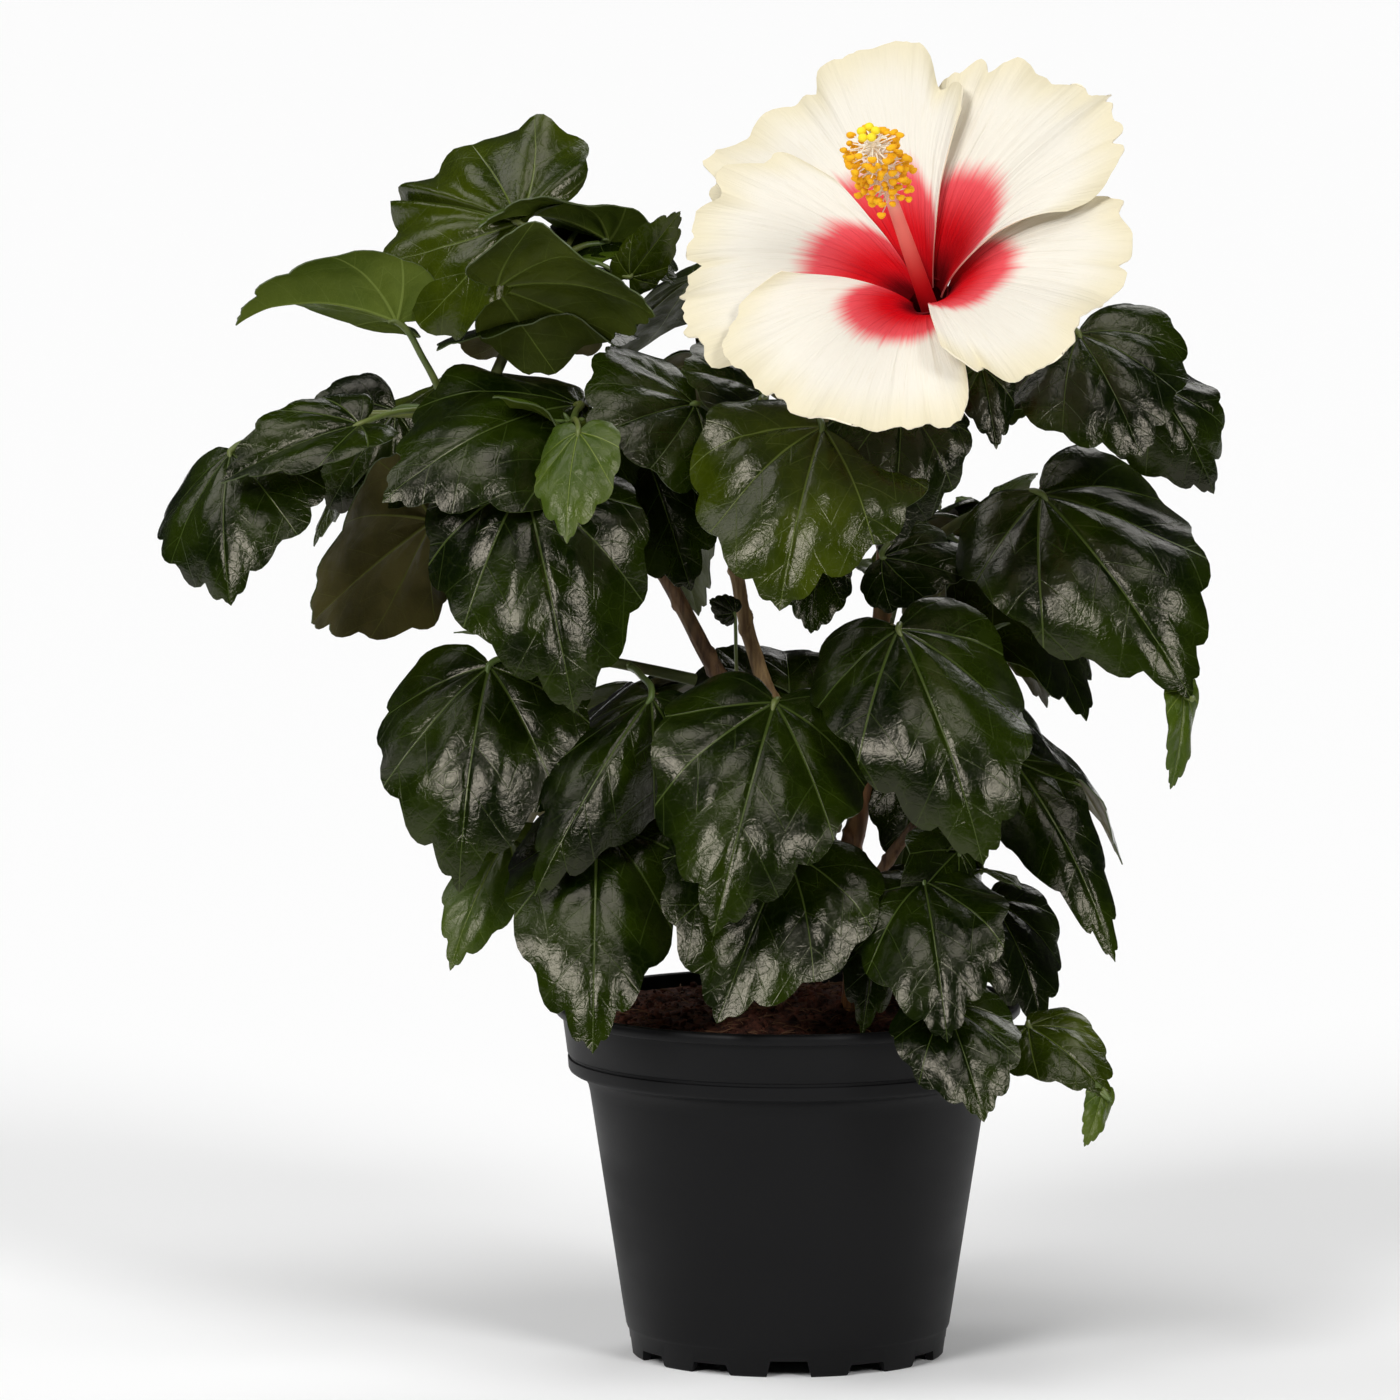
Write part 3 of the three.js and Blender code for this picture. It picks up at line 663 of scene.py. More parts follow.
class Leaf:
    """Where one leaf is: base, tip, breadth, the way its upper side looks, bend, fold, tone and pleats.

    Its stalk starts on the shoot or, when it follows, behind the tip of the leaf before it."""
    def __init__(self, base, tip, wide, face, bend=40, fold=0, tone=0, grid=FINE_GRID, pleat=0.0,
                 follows=False):
        self.base, self.tip = np.array(base, float) * MM, np.array(tip, float) * MM
        self.wide, self.face = wide * MM, face
        self.bend, self.fold = math.radians(bend), math.radians(fold)
        self.tone, self.grid, self.pleat, self.follows = tone, grid, pleat, follows

    def build(self, rng):
        chord = self.tip - self.base
        span = float(np.linalg.norm(chord))
        ahead = chord / span
        up = np.asarray(self.face, float)
        up = unit(up - ahead * (up @ ahead))
        side = np.cross(ahead, up)
        radius = span / (2 * math.sin(self.bend / 2))
        long = radius * self.bend
        wave, phase = rng.uniform(WAVE_LEAST, WAVE_MOST) * long, rng.uniform(0, 6.28)
        twist = math.radians(rng.uniform(-TWIST, TWIST))

        def place(across, along):
            half, far = outline(across, phase)
            x, y = half * along * self.wide / 2, far * along * long
            q, t = x / (self.wide / 2), y / long
            lift = long * leaf_relief(x / long, t, along, phase)
            lift += wave * q**2 * np.sin(2.1 * math.pi * t + phase + np.sign(x) * 1.3)
            lift += 0.35 * wave * np.abs(q) ** 3 * np.sin(9 * t + 2 * phase + np.sign(x))
            lift -= 0.10 * self.wide * q**2
            lift += self.pleat * long * along**1.5 * np.sin(32 * across + phase)
            slope = self.bend * (0.5 - t)
            forward = radius * (math.sin(self.bend / 2) - np.sin(slope))
            rise = radius * (np.cos(slope) - math.cos(self.bend / 2))
            raised = self.fold + twist * np.sign(x) * t
            out = np.outer(-np.sin(slope), ahead) + np.outer(np.cos(slope), up)
            lift += np.abs(x) * np.sin(raised)
            return (self.base + np.outer(forward, ahead) + np.outer(rise, up)
                    + np.outer(x * np.cos(raised), side) + out * lift[:, None])

        obj = sheet(*self.grid, place)
        grid = np.linspace(-1, 1, self.grid[0] + 1), np.linspace(0, 1, self.grid[1] + 1)
        across, along = (part.ravel() for part in np.meshgrid(*grid))
        half, far = outline(across, phase)
        flat = np.stack([half * along * self.wide / 2 / long, far * along], axis=1)
        paint_map(obj, "veins", flat)
        tone = obj.data.attributes.new("tone", "INT", "FACE")
        tone.data.foreach_set("value", [self.tone] * len(obj.data.polygons))
        return obj


def paint_map(obj, name, places):
    """Gives a mesh a UV map from one place for each vertex."""
    layer = obj.data.uv_layers.new(name=name)
    corner = np.empty(len(obj.data.loops), int)
    obj.data.loops.foreach_get("vertex_index", corner)
    layer.uv.foreach_set("vector", places[corner].ravel())


def bake_map(obj, cell, cells):
    """Lays a sheet flat in its own cell of the lower half of a picture, for its upper faces."""
    wide = math.ceil(math.sqrt(cells))
    tall = math.ceil(cells / wide)
    source = obj.data.uv_layers["veins"] if "veins" in obj.data.uv_layers else obj.data.uv_layers[0]
    spot = np.empty(len(obj.data.loops) * 2)
    source.uv.foreach_get("vector", spot)
    spot = spot.reshape(-1, 2)
    low, high = spot.min(axis=0), spot.max(axis=0)
    share = 0.03 + 0.94 * (spot - low) / (high - low)
    share = (share + (cell % wide, cell // wide)) / (wide, tall * 2)
    layer = obj.data.uv_layers.new(name="OFBake")
    layer.uv.foreach_set("vector", share.ravel())


FINISHES_EACH = 3  # a leaf's upper side, underside and margin


def shell(name, sheets, thickness, materials, steps=(1, 1)):
    """Joins sheets, each already flat in its cell, and gives them thickness and an underside."""
    obj = joined(name, sheets)
    edit(obj, (bpy.ops.mesh.remove_doubles, MERGE))
    for material in materials:
        obj.data.materials.append(material)
    if "tone" in obj.data.attributes:
        tones = np.empty(len(obj.data.polygons), int)
        obj.data.attributes["tone"].data.foreach_get("value", tones)
        obj.data.polygons.foreach_set("material_index", FINISHES_EACH * tones)
    apply_modifier(obj, "SOLIDIFY", thickness=thickness, offset=-1, material_offset=steps[0],
                   material_offset_rim=steps[1])
    under = np.array([p.material_index % FINISHES_EACH == 1 for p in obj.data.polygons])
    loops = np.array([p.loop_total for p in obj.data.polygons])
    layer = obj.data.uv_layers["OFBake"]
    spot = np.empty(len(obj.data.loops) * 2)
    layer.uv.foreach_get("vector", spot)
    spot = spot.reshape(-1, 2)
    spot[np.repeat(under, loops), 1] += 0.5
    layer.uv.foreach_set("vector", spot.ravel())
    return obj


# %% Leaf finishes
def vein_mask(tree, where):
    """How pale and how raised each vein is, from the same sums as the mesh's relief."""
    x, y = map_sides(tree, where)
    reach = calc(tree, "SQRT", calc(tree, "ADD", calc(tree, "MULTIPLY", x, x), calc(tree, "MULTIPLY", y, y)))
    bow = calc(tree, "ADD", calc(tree, "MULTIPLY", reach, VEIN_BOW), 1)
    away = calc(tree, "MULTIPLY", calc(tree, "ARCTAN2", calc(tree, "ABSOLUTE", x), y), bow)
    turns = [calc(tree, "ABSOLUTE", calc(tree, "SUBTRACT", away, vein)) for vein in MAIN_VEINS]
    turn = calc(tree, "MINIMUM", calc(tree, "MINIMUM", turns[0], turns[1]), turns[2])
    main = calc(tree, "MULTIPLY", reach, calc(tree, "SINE", turn))
    run = calc(tree, "MULTIPLY", reach, calc(tree, "COSINE", turn))
    place = calc(tree, "DIVIDE", calc(tree, "SUBTRACT", run, calc(tree, "MULTIPLY", main, SIDE_VEIN_LEAN)),
                 SIDE_VEIN_EVERY)
    side = calc(tree, "MULTIPLY", calc(tree, "PINGPONG", place, 0.5), SIDE_VEIN_EVERY)
    net = tree.nodes.new("ShaderNodeTexVoronoi")
    net.feature = "DISTANCE_TO_EDGE"
    net.inputs["Scale"].default_value = 17
    tree.links.new(where, net.inputs["Vector"])
    wide = calc(tree, "MULTIPLY", ramp(tree, reach, 0, 1, 1.0, 0.3), 0.0054)
    bold = ramp(tree, calc(tree, "DIVIDE", main, wide), 0.6, 1.6, 1.0, 0.0)
    thin = ramp(tree, side, 0.001, 0.006, 0.30, 0.0)
    faint = ramp(tree, net.outputs["Distance"], 0.0, 0.07, 0.10, 0.0)
    pale = calc(tree, "MAXIMUM", bold, calc(tree, "MAXIMUM", thin, faint))
    raised = calc(tree, "ADD", bold, calc(tree, "ADD", thin, calc(tree, "MULTIPLY", faint, 1.8)))
    return pale, raised


def leaf_finish(name, dark, light, vein, rough, gloss, sunk):
    material, tree, shader = new_material(name, rough=rough, gloss=gloss, Specular_Tint=(1.0, 0.91, 0.76, 1))
    where = own_map(tree, "veins")
    mask, raised = vein_mask(tree, where)
    place = object_place(tree)
    patch = speckle(tree, place, 42, 4)
    body = blend(tree, ramp(tree, patch, 0.35, 0.68), dark, light)
    coloured(tree, shader, blend(tree, mask, body, vein))
    dull = speckle(tree, place, 200, 4)
    tree.links.new(ramp(tree, dull, 0.3, 0.75, rough * 0.8, rough * 1.35), shader.inputs["Roughness"])
    crinkle = speckle(tree, place, 420, 5, 0.62)
    height = calc(tree, "ADD", calc(tree, "MULTIPLY", raised, sunk * 0.5), crinkle)
    bumped(tree, shader, height, 0.38, 0.0006)
    return material


margin, tree, shader = new_material("leaf_margin", rough=0.45)
shader.inputs["Base Color"].default_value = (0.045, 0.065, 0.012, 1)
# Each tone of leaf, deep, mid and young: its dark patches, its light patches and its veins.
GREENS = [
    ((0.0020, 0.0050, 0.0002), (0.0120, 0.0215, 0.0005), (0.042, 0.062, 0.012)),
    ((0.0120, 0.0205, 0.0004), (0.0340, 0.0480, 0.0010), (0.075, 0.102, 0.015)),
    ((0.0300, 0.0560, 0.0030), (0.0560, 0.0860, 0.0050), (0.110, 0.150, 0.020)),
]
UNDERSIDES = [
    ((0.0520, 0.0450, 0.0120), (0.1150, 0.0980, 0.0290), (0.120, 0.130, 0.024)),
    ((0.0300, 0.0420, 0.0030), (0.0540, 0.0700, 0.0060), (0.090, 0.120, 0.018)),
    ((0.0500, 0.0780, 0.0060), (0.0800, 0.1100, 0.0110), (0.130, 0.170, 0.030)),
]
LEAF_ROUGHNESS = {"deep": 0.16, "mid": 0.17, "young": 0.30}
LEAF_FINISHES = []
for (word, rough), upper, under in zip(LEAF_ROUGHNESS.items(), GREENS, UNDERSIDES):
    LEAF_FINISHES.append(leaf_finish(f"leaf_{word}", *upper, rough=rough, gloss=0.34, sunk=-1))
    LEAF_FINISHES.append(leaf_finish(f"leaf_{word}_under", *under, rough=0.5, gloss=0.18, sunk=1))
    LEAF_FINISHES.append(margin)

# %% [markdown]
# ## Shoots and their leaves
#
# Each mass of foliage is a short shoot with its leaves. At the front the leaves can be told apart, so
# each has its own base, tip, breadth and facing. Behind, a rule sets leaves round the shoot by the
# golden section. Small young leaves and buds finish each shoot, dealt out by a seeded draw.

# %% The front shoots
DEEP, MID, YOUNG = 0, 1, 2
SPRAYS = {
    "left_foliage": ([(-50, 6, 238), (-72, 14, 252), (-94, 16, 262)], [
        Leaf((-109, 8, 289), (-153, -22, 291), 36, (-0.1, 0.62, 0.78), 60, 40, YOUNG),
        Leaf((-119, -8, 262), (-157, -23, 247), 28, (-0.2, -0.7, 0.7), 30, 20),
        Leaf((-155, -4, 254), (-154, -32, 214), 52, (-0.35, -0.85, 0.3), 50, -15),
        Leaf((-100, 30, 231), (-133, -5, 206), 54, (-0.1, 0.85, 0.4), 15, 8),
        Leaf((-110, 28, 262), (-129, 28, 234), 46, (-0.2, -0.85, 0.45), 40),
    ]),
    "top_left_foliage": ([(-84, 12, 268), (-76, 12, 286), (-64, 14, 306)], [
        Leaf((-75, 2, 317), (-110, 38, 321), 69, (-0.3, -0.75, 0.6), 30, 0, MID, pleat=0.04),
        Leaf((-50, 16, 311), (-86, -8, 317), 30, (0.0, 0.35, 0.9), 55, 25, YOUNG),
        Leaf((-81, -8, 300), (-37, -20, 293), 56, (0.1, 0.66, 0.74), 60, 0, MID),
        Leaf((-55, 25, 285), (-98, 0, 282), 44, (0, 0.3, 0.95), 40),
        Leaf((-55, 30, 315), (-32, 10, 299), 32, (0.4, -0.5, 0.75), 40),
        Leaf((-44, 2, 302), (-30, -6, 321), 15, (0.3, -0.8, 0.5), 20, 0, MID),
    ]),
    "mid_left_foliage": ([(-52, 0, 240), (-58, -8, 252), (-60, -12, 262)], [
        Leaf((-58, -2, 267), (-112, -36, 243), 62, (-0.1, -0.72, 0.68), 55, -8),
        Leaf((-73, -28, 248), (-59, -55, 187), 62, (0, -0.9, 0.4), 45, -8),
        Leaf((-58, -48, 264), (-61, -66, 235), 24, (-0.3, -0.8, 0.5), 40, -10, YOUNG),
    ]),
    "centre_foliage": ([(-24, 6, 246), (-22, 0, 258), (-8, -4, 266)], [
        Leaf((-26, -12, 268), (-55, -30, 260), 54, (-0.05, -0.8, 0.55), 35),
        Leaf((-7, 5, 269), (-30, -10, 277), 46, (0, -0.72, 0.68), 35),
        Leaf((9, -42, 265), (-3, -70, 217), 66, (-0.1, -0.87, 0.45), 45, 0, MID),
        Leaf((-41, 5, 256), (-27, -15, 216), 42, (0, -0.9, 0.35), 40),
    ]),
    "flower_foot_foliage": ([(33, 0, 232), (32, -8, 240), (28, -16, 244)], [
        Leaf((31, -40, 272), (28, -58, 234), 40, (0.1, -0.9, 0.4), 35),
        Leaf((8, -20, 225), (6, -30, 206), 20, (0, -0.9, 0.3), 20),
        Leaf((53, -30, 280), (57, -38, 258), 16, (0.2, -0.9, 0.3), 25),
        Leaf((26, -10, 225), (49, -16, 220), 30, (0.1, -0.8, 0.5), 30),
    ]),
    "upper_right_foliage": ([(42, 16, 262), (58, 14, 272), (76, 6, 282)], [
        Leaf((80, -15, 288), (97, -38, 256), 56, (0.15, -0.88, 0.42), 40),
        Leaf((101, 18, 271), (119, 14, 240), 36, (0.3, -0.85, 0.4), 50, -10),
        Leaf((63, 10, 272), (59, 5, 259), 14, (0, -0.9, 0.3), 20),
    ]),
    "right_foliage": ([(34, 8, 222), (46, 6, 232), (56, 0, 238)], [
        Leaf((70, -12, 243), (111, -42, 189), 62, (0.12, -0.88, 0.45), 45, -5),
        Leaf((109, -38, 191), (105, -48, 165), 12, (0.6, -0.7, 0.3), 20, 0, YOUNG, follows=True),
        Leaf((58, 15, 215), (84, 7, 184), 31, (-0.3, -0.75, -0.5), 30, 0, MID),
    ]),
    "lower_left_foliage": ([(-26, -4, 190), (-50, -12, 196), (-70, -14, 198)], [
        Leaf((-83, -20, 196), (-91, -46, 136), 58, (-0.15, -0.88, 0.42), 55, -8),
        Leaf((-38, -32, 189), (-70, -60, 137), 42, (-0.1, -0.88, 0.45), 45, -35),
        Leaf((-78, -15, 148), (-94, -30, 112), 24, (-0.4, -0.8, 0.3), 30, 0, YOUNG),
    ]),
    "pot_side_foliage": ([(-6, -5, 152), (-24, -14, 158), (-44, -24, 160)], [
        Leaf((-53, -34, 154), (-54, -78, 96), 50, (0, -0.87, 0.45), 45, -8),
    ]),
    "lower_centre_foliage": ([(6, -7, 156), (4, -16, 170), (2, -26, 178)], [
        Leaf((-4, -45, 189), (-21, -82, 129), 58, (0, -0.88, 0.45), 45, -5),
        Leaf((-1, -50, 148), (-20, -75, 104), 60, (0, -0.9, 0.4), 30, 12),
    ]),
    "inner_foliage": ([(22, 11, 156), (20, 10, 163), (15, 8, 169)], [
        Leaf((0, 12, 178), (-20, 38, 194), 46, (-0.1, -0.66, 0.75), 30),
    ]),
    "lower_right_foliage": ([(31, -1, 196), (36, -10, 200), (44, -16, 196)], [
        Leaf((30, -42, 209), (53, -78, 148), 58, (0.1, -0.88, 0.45), 50, -10),
        Leaf((62, -20, 170), (90, -48, 117), 25, (0.3, -0.85, 0.35), 45, -10),
        Leaf((36, 6, 166), (31, 0, 134), 26, (0.1, -0.9, 0.3), 25),
    ]),
    "pot_rim_foliage": ([(38, -18, 154), (44, -24, 148), (50, -28, 138)], [
        Leaf((37, -50, 140), (43, -84, 100), 44, (0, -0.85, 0.5), 60),
        Leaf((47, -40, 147), (43, -62, 113), 32, (0.6, -0.7, 0.3), 20, -10),
        Leaf((43, -68, 108), (53, -90, 79), 34, (0.05, -0.84, 0.52), 35),
        Leaf((56, -16, 130), (70, -32, 97), 38, (0.5, -0.75, 0.3), 45),
        Leaf((66, -46, 99), (88, -64, 81), 26, (0.3, -0.78, 0.5), 45, 0, MID, follows=True),
        Leaf((86, -63, 83), (81, -70, 69), 9, (0.4, -0.75, 0.3), 20, 0, YOUNG, follows=True),
        Leaf((25, -42, 138), (20, -58, 98), 24, (0.2, -0.9, 0.3), 25),
    ]),
}

# %% The rule for the back shoots
GOLDEN_SHARE = 0.618
BACK_SPREAD = 170  # degrees of arc that the leaves of a back shoot keep to
BACK_LEAF_LENGTH, BACK_LEAF_BREADTH = 58, 50
BACK_STALK_LENGTH = 16
BACK_LEAF_FALL = math.radians(52)
# Each back shoot: its line, the way it looks out in degrees, and how many leaves it bears.
BACK_SHOOTS = {
    "back_left_foliage": ([(-54, 10, 236), (-70, 34, 246), (-82, 48, 262)], 128, 4),
    "back_top_foliage": ([(-22, 20, 244), (-18, 38, 268), (-12, 46, 292)], 96, 4),
    "back_right_foliage": ([(35, 14, 216), (48, 32, 221), (61, 46, 225)], 48, 4),
    "back_middle_foliage": ([(28, 14, 204), (30, 32, 208), (32, 46, 212)], 120, 1),
    "back_low_left_foliage": ([(-14, 8, 176), (-28, 28, 176), (-40, 44, 172)], 130, 3),
    "back_low_right_foliage": ([(32, 36, 180), (38, 44, 176), (46, 52, 168)], 62, 3),
}


def spray_leaf(node, turn, length, breadth, stalk, fall, tone, grid):
    """A leaf on its stalk, growing away from a node on a shoot. All in millimetres."""
    away = np.array([math.cos(turn), math.sin(turn), 0])
    base = node + away * stalk + (0, 0, 0.375 * stalk)
    tip = base + away * length * math.cos(fall) - (0, 0, length * math.sin(fall))
    return Leaf(base, tip, breadth, (away[0] * 0.7, away[1] * 0.7, 0.7), 40, 0, tone, grid)


rng = random.Random(29)
for name, (shoot, out, count) in BACK_SHOOTS.items():
    leaves = []
    for i in range(count):
        turn = math.radians(out - BACK_SPREAD / 2 + ((i * GOLDEN_SHARE) % 1) * BACK_SPREAD)
        node = catmull(shoot, np.array([(i + 1) / count]))[0]
        leaves.append(spray_leaf(node, turn, BACK_LEAF_LENGTH, BACK_LEAF_BREADTH, BACK_STALK_LENGTH,
                                 BACK_LEAF_FALL, rng.choice((DEEP, DEEP, MID)), PLAIN_GRID))
    SPRAYS[name] = (shoot, leaves)

# One tiny leaf on a long thin stalk stands in the gap between the two boughs on the left.
SPRAYS["back_low_left_foliage"][1].append(Leaf((-15, 2, 208), (-22, 0, 212), 9, (0, -0.9, 0.4), 20))

# %% Young leaves at the end of each shoot
YOUNG_EACH = 2
YOUNG_BREADTH = 0.62  # as a share of the length
for name, (shoot, leaves) in SPRAYS.items():
    middle = np.mean([leaf.base for leaf in leaves], axis=0) / MM
    out = math.atan2(middle[1] - shoot[0][1], middle[0] - shoot[0][0])
    for _ in range(YOUNG_EACH):
        turn = out + rng.uniform(-1.3, 1.3)
        length = rng.uniform(15, 24)
        node = catmull(shoot, np.array([rng.uniform(0.8, 1.0)]))[0]
        leaves.append(spray_leaf(node, turn, length, length * YOUNG_BREADTH, rng.uniform(4, 8),
                                 math.radians(rng.uniform(-30, 20)), rng.choice((MID, YOUNG)), YOUNG_GRID))

# %% Build the foliage
SHOOT_FOOT, SHOOT_END = 1.7 * MM, 1.2 * MM
STALK_FOOT, STALK_END = 1.25 * MM, 0.95 * MM
stalk_lines, stalk_radii, shoot_lines, bud_spots = [], [], [], []
for name, (shoot, leaves) in SPRAYS.items():
    line = catmull(np.array(shoot) * MM, np.linspace(0, 1, 9))
    shoot_lines.append(line[::2])
    blades = []
    for cell, leaf in enumerate(leaves):
        blade = leaf.build(rng)
        bake_map(blade, cell, len(leaves))
        blades.append(blade)
        node = line[np.argmin(np.linalg.norm(line - leaf.base, axis=1))]
        if leaf.follows:
            node = leaves[cell - 1].tip
        into = leaf.base + 0.05 * (leaf.tip - leaf.base)
        middle = (node + leaf.base) / 2 + (0, 0, 0.07 * float(np.linalg.norm(leaf.base - node)))
        size = min(1.0, 0.4 + leaf.wide / (60 * MM))
        stalk_lines.append([node, middle, leaf.base, into])
        stalk_radii.append([STALK_FOOT * size, STALK_END * size, STALK_END * size, 0.5 * STALK_END * size])
        bud_spots.append((node, middle - node))
    bud_spots.append((line[-1], line[-1] - line[-2]))
    foliage = shell(name, blades, BLADE_THICKNESS, LEAF_FINISHES, (1, 2))
    finished(foliage, name.replace("foliage", "leaves"), [name])

# %% Shoots, stalks and buds
shoots = rods(shoot_lines, [np.linspace(SHOOT_FOOT, SHOOT_END, 5)] * len(shoot_lines), sides=12, steps=6)
shoots.data.materials.append(BARKS["shoots"])
finished(shoots, "shoots")

stalk_green, tree, shader = new_material("leaf_stalk", rough=0.42, gloss=0.45)
tone = speckle(tree, object_place(tree), 60)
coloured(tree, shader, blend(tree, ramp(tree, tone, 0.35, 0.65), (0.075, 0.115, 0.022), (0.13, 0.15, 0.035)))
stalks = rods(stalk_lines, stalk_radii, sides=10, steps=7)
stalks.data.materials.append(stalk_green)
finished(stalks, "leaf_stalks")

BUDS_EACH = 2
bud = ball(2)
spots = []
for place, way in bud_spots:
    turn = Vector(way).to_track_quat("Z", "Y").to_matrix().to_4x4()
    for _ in range(BUDS_EACH):
        lean = Matrix.Rotation(rng.uniform(-0.7, 0.7), 4, "X")
        lean = lean @ Matrix.Rotation(rng.uniform(-0.7, 0.7), 4, "Y")
        size = Matrix.Diagonal((0.8 * MM, 0.65 * MM, rng.uniform(1.6, 2.8) * MM, 1))
        spots.append(Matrix.Translation(place) @ turn @ lean @ Matrix.Translation((0, 0, 1.8 * MM)) @ size)
buds = scattered(bud, spots)
buds.data.materials.append(stalk_green)
finished(buds, "leaf_buds")
print("leaves:", len(stalk_lines))

# %% [markdown]
# ## The bloom
#
# The flower has five broad petals on a short tube. Each one overlaps the next on one side and is
# overlapped on the other. Their edges are frilled, fine lines run out along them, and a red eye
# feathers into the cream. One petal is a sheet swept out from the throat, and its finish reads
# the sheet's own map, from foot to edge.

# %% The flower's own frame
THROAT = np.array([37.7, -40, 299.4]) * MM
FLOWER_AXIS = unit((-0.24, -0.66, 0.71))
FLOWER_RIGHT = unit(np.cross((0, 0, 1), FLOWER_AXIS))
FLOWER_HIGH = np.cross(FLOWER_AXIS, FLOWER_RIGHT)
# Each petal: its turn about the axis in degrees, its length and its breadth in millimetres.
PETALS = [(130, 78, 108), (63, 73, 92), (-9, 63, 100), (-102, 60, 100), (185, 68, 94)]
PETAL_FOOT = 5 * MM
FOOT_ANGLE, EDGE_ANGLE = math.radians(28), math.radians(86)
EDGE_RECURVE = math.radians(14)
PETAL_FOOT_SPREAD = math.radians(52)
PETAL_THICKNESS = 0.5 * MM
PETAL_LAP = 3.6 * MM


def flower_place(reach, turn, rise):
    """A point by its distance from the flower's axis, its turn about it and its height past the throat."""
    radial = np.outer(np.cos(turn), FLOWER_RIGHT) + np.outer(np.sin(turn), FLOWER_HIGH)
    return THROAT + radial * np.asarray(reach)[:, None] + np.outer(rise, FLOWER_AXIS)


def flower_point(reach, turn, rise):
    return flower_place([reach], [turn], [rise])[0]


# How far out and up a petal of length 1 has come at each share of its length.
steps = np.linspace(0, 1, 200)
angles = FOOT_ANGLE + (EDGE_ANGLE - FOOT_ANGLE) * np.minimum(1, 1.6 * steps) ** 0.8 + EDGE_RECURVE * steps**5
out_by, up_by = (np.concatenate([[0], np.cumsum(f(angles)[1:]) * steps[1]]) for f in (np.sin, np.cos))


def petal(turn, length, breadth, rng):
    turn, length = math.radians(turn), length * MM
    half = breadth * MM / 2 / (length * 0.85)
    phase = [rng.uniform(0, 6.28) for _ in range(5)]
    notches = [(rng.uniform(-0.85, 0.85), rng.uniform(0.04, 0.10), rng.uniform(0.03, 0.06)) for _ in range(4)]

    def place(across, along):
        line = np.stack([across, across * 0, across * 0], axis=1)
        ragged = 0.020 * np.sin(8 * across + phase[0]) + 0.014 * np.sin(23 * across + phase[1])
        ragged += 0.045 * noise_at(line, 0.13, phase[2]) + 0.022 * noise_at(line, 0.045, phase[3])
        for middle, deep, wide in notches:
            ragged -= deep * np.exp(-(((across - middle) / wide) ** 2))
        edge = 1 - 0.36 * np.abs(across) ** 4.5 + ragged * along
        share = along * edge
        angle = np.interp(share, steps, angles)
        spread = PETAL_FOOT_SPREAD + (half - PETAL_FOOT_SPREAD) * np.minimum(1, 1.8 * along)
        ruffle = 3.4 * MM * along**3 * np.sin(6.5 * across + phase[3])
        ruffle += 1.5 * MM * along**7 * np.sin(17 * across + phase[4])
        spots = np.stack([across, 0.6 * along, across * 0], axis=1)
        ruffle += 1.6 * MM * along**3 * noise_at(spots, 0.22, phase[0])
        ruffle += 1.5 * MM * along**2 * (1 - across**2) * math.sin(phase[1])
        ruffle += 0.12 * MM * np.sin(60 * across) * np.clip(along * 2, 0, 1)
        lift = ruffle + PETAL_LAP * across * (0.35 + along)
        reach = PETAL_FOOT + length * np.interp(share, steps, out_by) - np.cos(angle) * lift
        rise = length * np.interp(share, steps, up_by) + np.sin(angle) * lift
        return flower_place(reach, turn - across * spread, rise)

    return sheet(110, 70, place)


# %% Petal finish
petal_front, tree, shader = new_material("petal", rough=0.6, gloss=0.12)
where = own_map(tree, "UVMap")
across, along = map_sides(tree, where)
lines = speckle(tree, stretched(tree, where, (64, 2.2, 1)), 1.0, 3)
fine = speckle(tree, stretched(tree, where, (160, 5, 1)), 1.0, 2)
off = calc(tree, "ABSOLUTE", calc(tree, "SUBTRACT", across, 0.5))
bow = calc(tree, "MULTIPLY", calc(tree, "MULTIPLY", off, off), 0.5)
feather = calc(tree, "MULTIPLY", calc(tree, "SUBTRACT", lines, 0.5), 0.12)
reach = calc(tree, "ADD", calc(tree, "ADD", along, bow), feather)
cream = blend(tree, ramp(tree, along, 0.74, 1.02), (0.76, 0.72, 0.63), (0.73, 0.66, 0.47))
cream = blend(tree, ramp(tree, fine, 0.55, 0.75, 0, 0.35), cream, (0.66, 0.60, 0.46))
eye = blend(tree, ramp(tree, reach, 0.06, 0.20), (0.16, 0.0, 0.003), (0.62, 0.001, 0.006))
eye = blend(tree, ramp(tree, reach, 0.22, 0.48, 0, 0.8), eye, (0.78, 0.11, 0.13))
eye = blend(tree, ramp(tree, lines, 0.50, 0.62, 0, 0.35), eye, (0.42, 0.001, 0.010))
coloured(tree, shader, blend(tree, ramp(tree, reach, 0.42, 0.55), eye, cream))
bumped(tree, shader, lines, 0.6, 0.0009)

petal_back, tree, shader = new_material("petal_back", rough=0.6, gloss=0.2)
where = own_map(tree, "UVMap")
across, along = map_sides(tree, where)
lines = speckle(tree, stretched(tree, where, (64, 2.2, 1)), 1.0, 3)
blush = blend(tree, ramp(tree, along, 0.12, 0.42), (0.62, 0.16, 0.14), (0.88, 0.80, 0.62))
coloured(tree, shader, blend(tree, ramp(tree, lines, 0.5, 0.7, 0, 0.3), blush, (0.78, 0.66, 0.46)))
bumped(tree, shader, lines, 0.35, 0.0006)

# %% Petals
rng = random.Random(5)
sheets = []
for cell, (turn, length, breadth) in enumerate(PETALS):
    blade = petal(turn, length, breadth, rng)
    bake_map(blade, cell, len(PETALS))
    sheets.append(blade)
petals = shell("petals", sheets, PETAL_THICKNESS, [petal_front, petal_back])
finished(petals, "petals", ["bloom"])

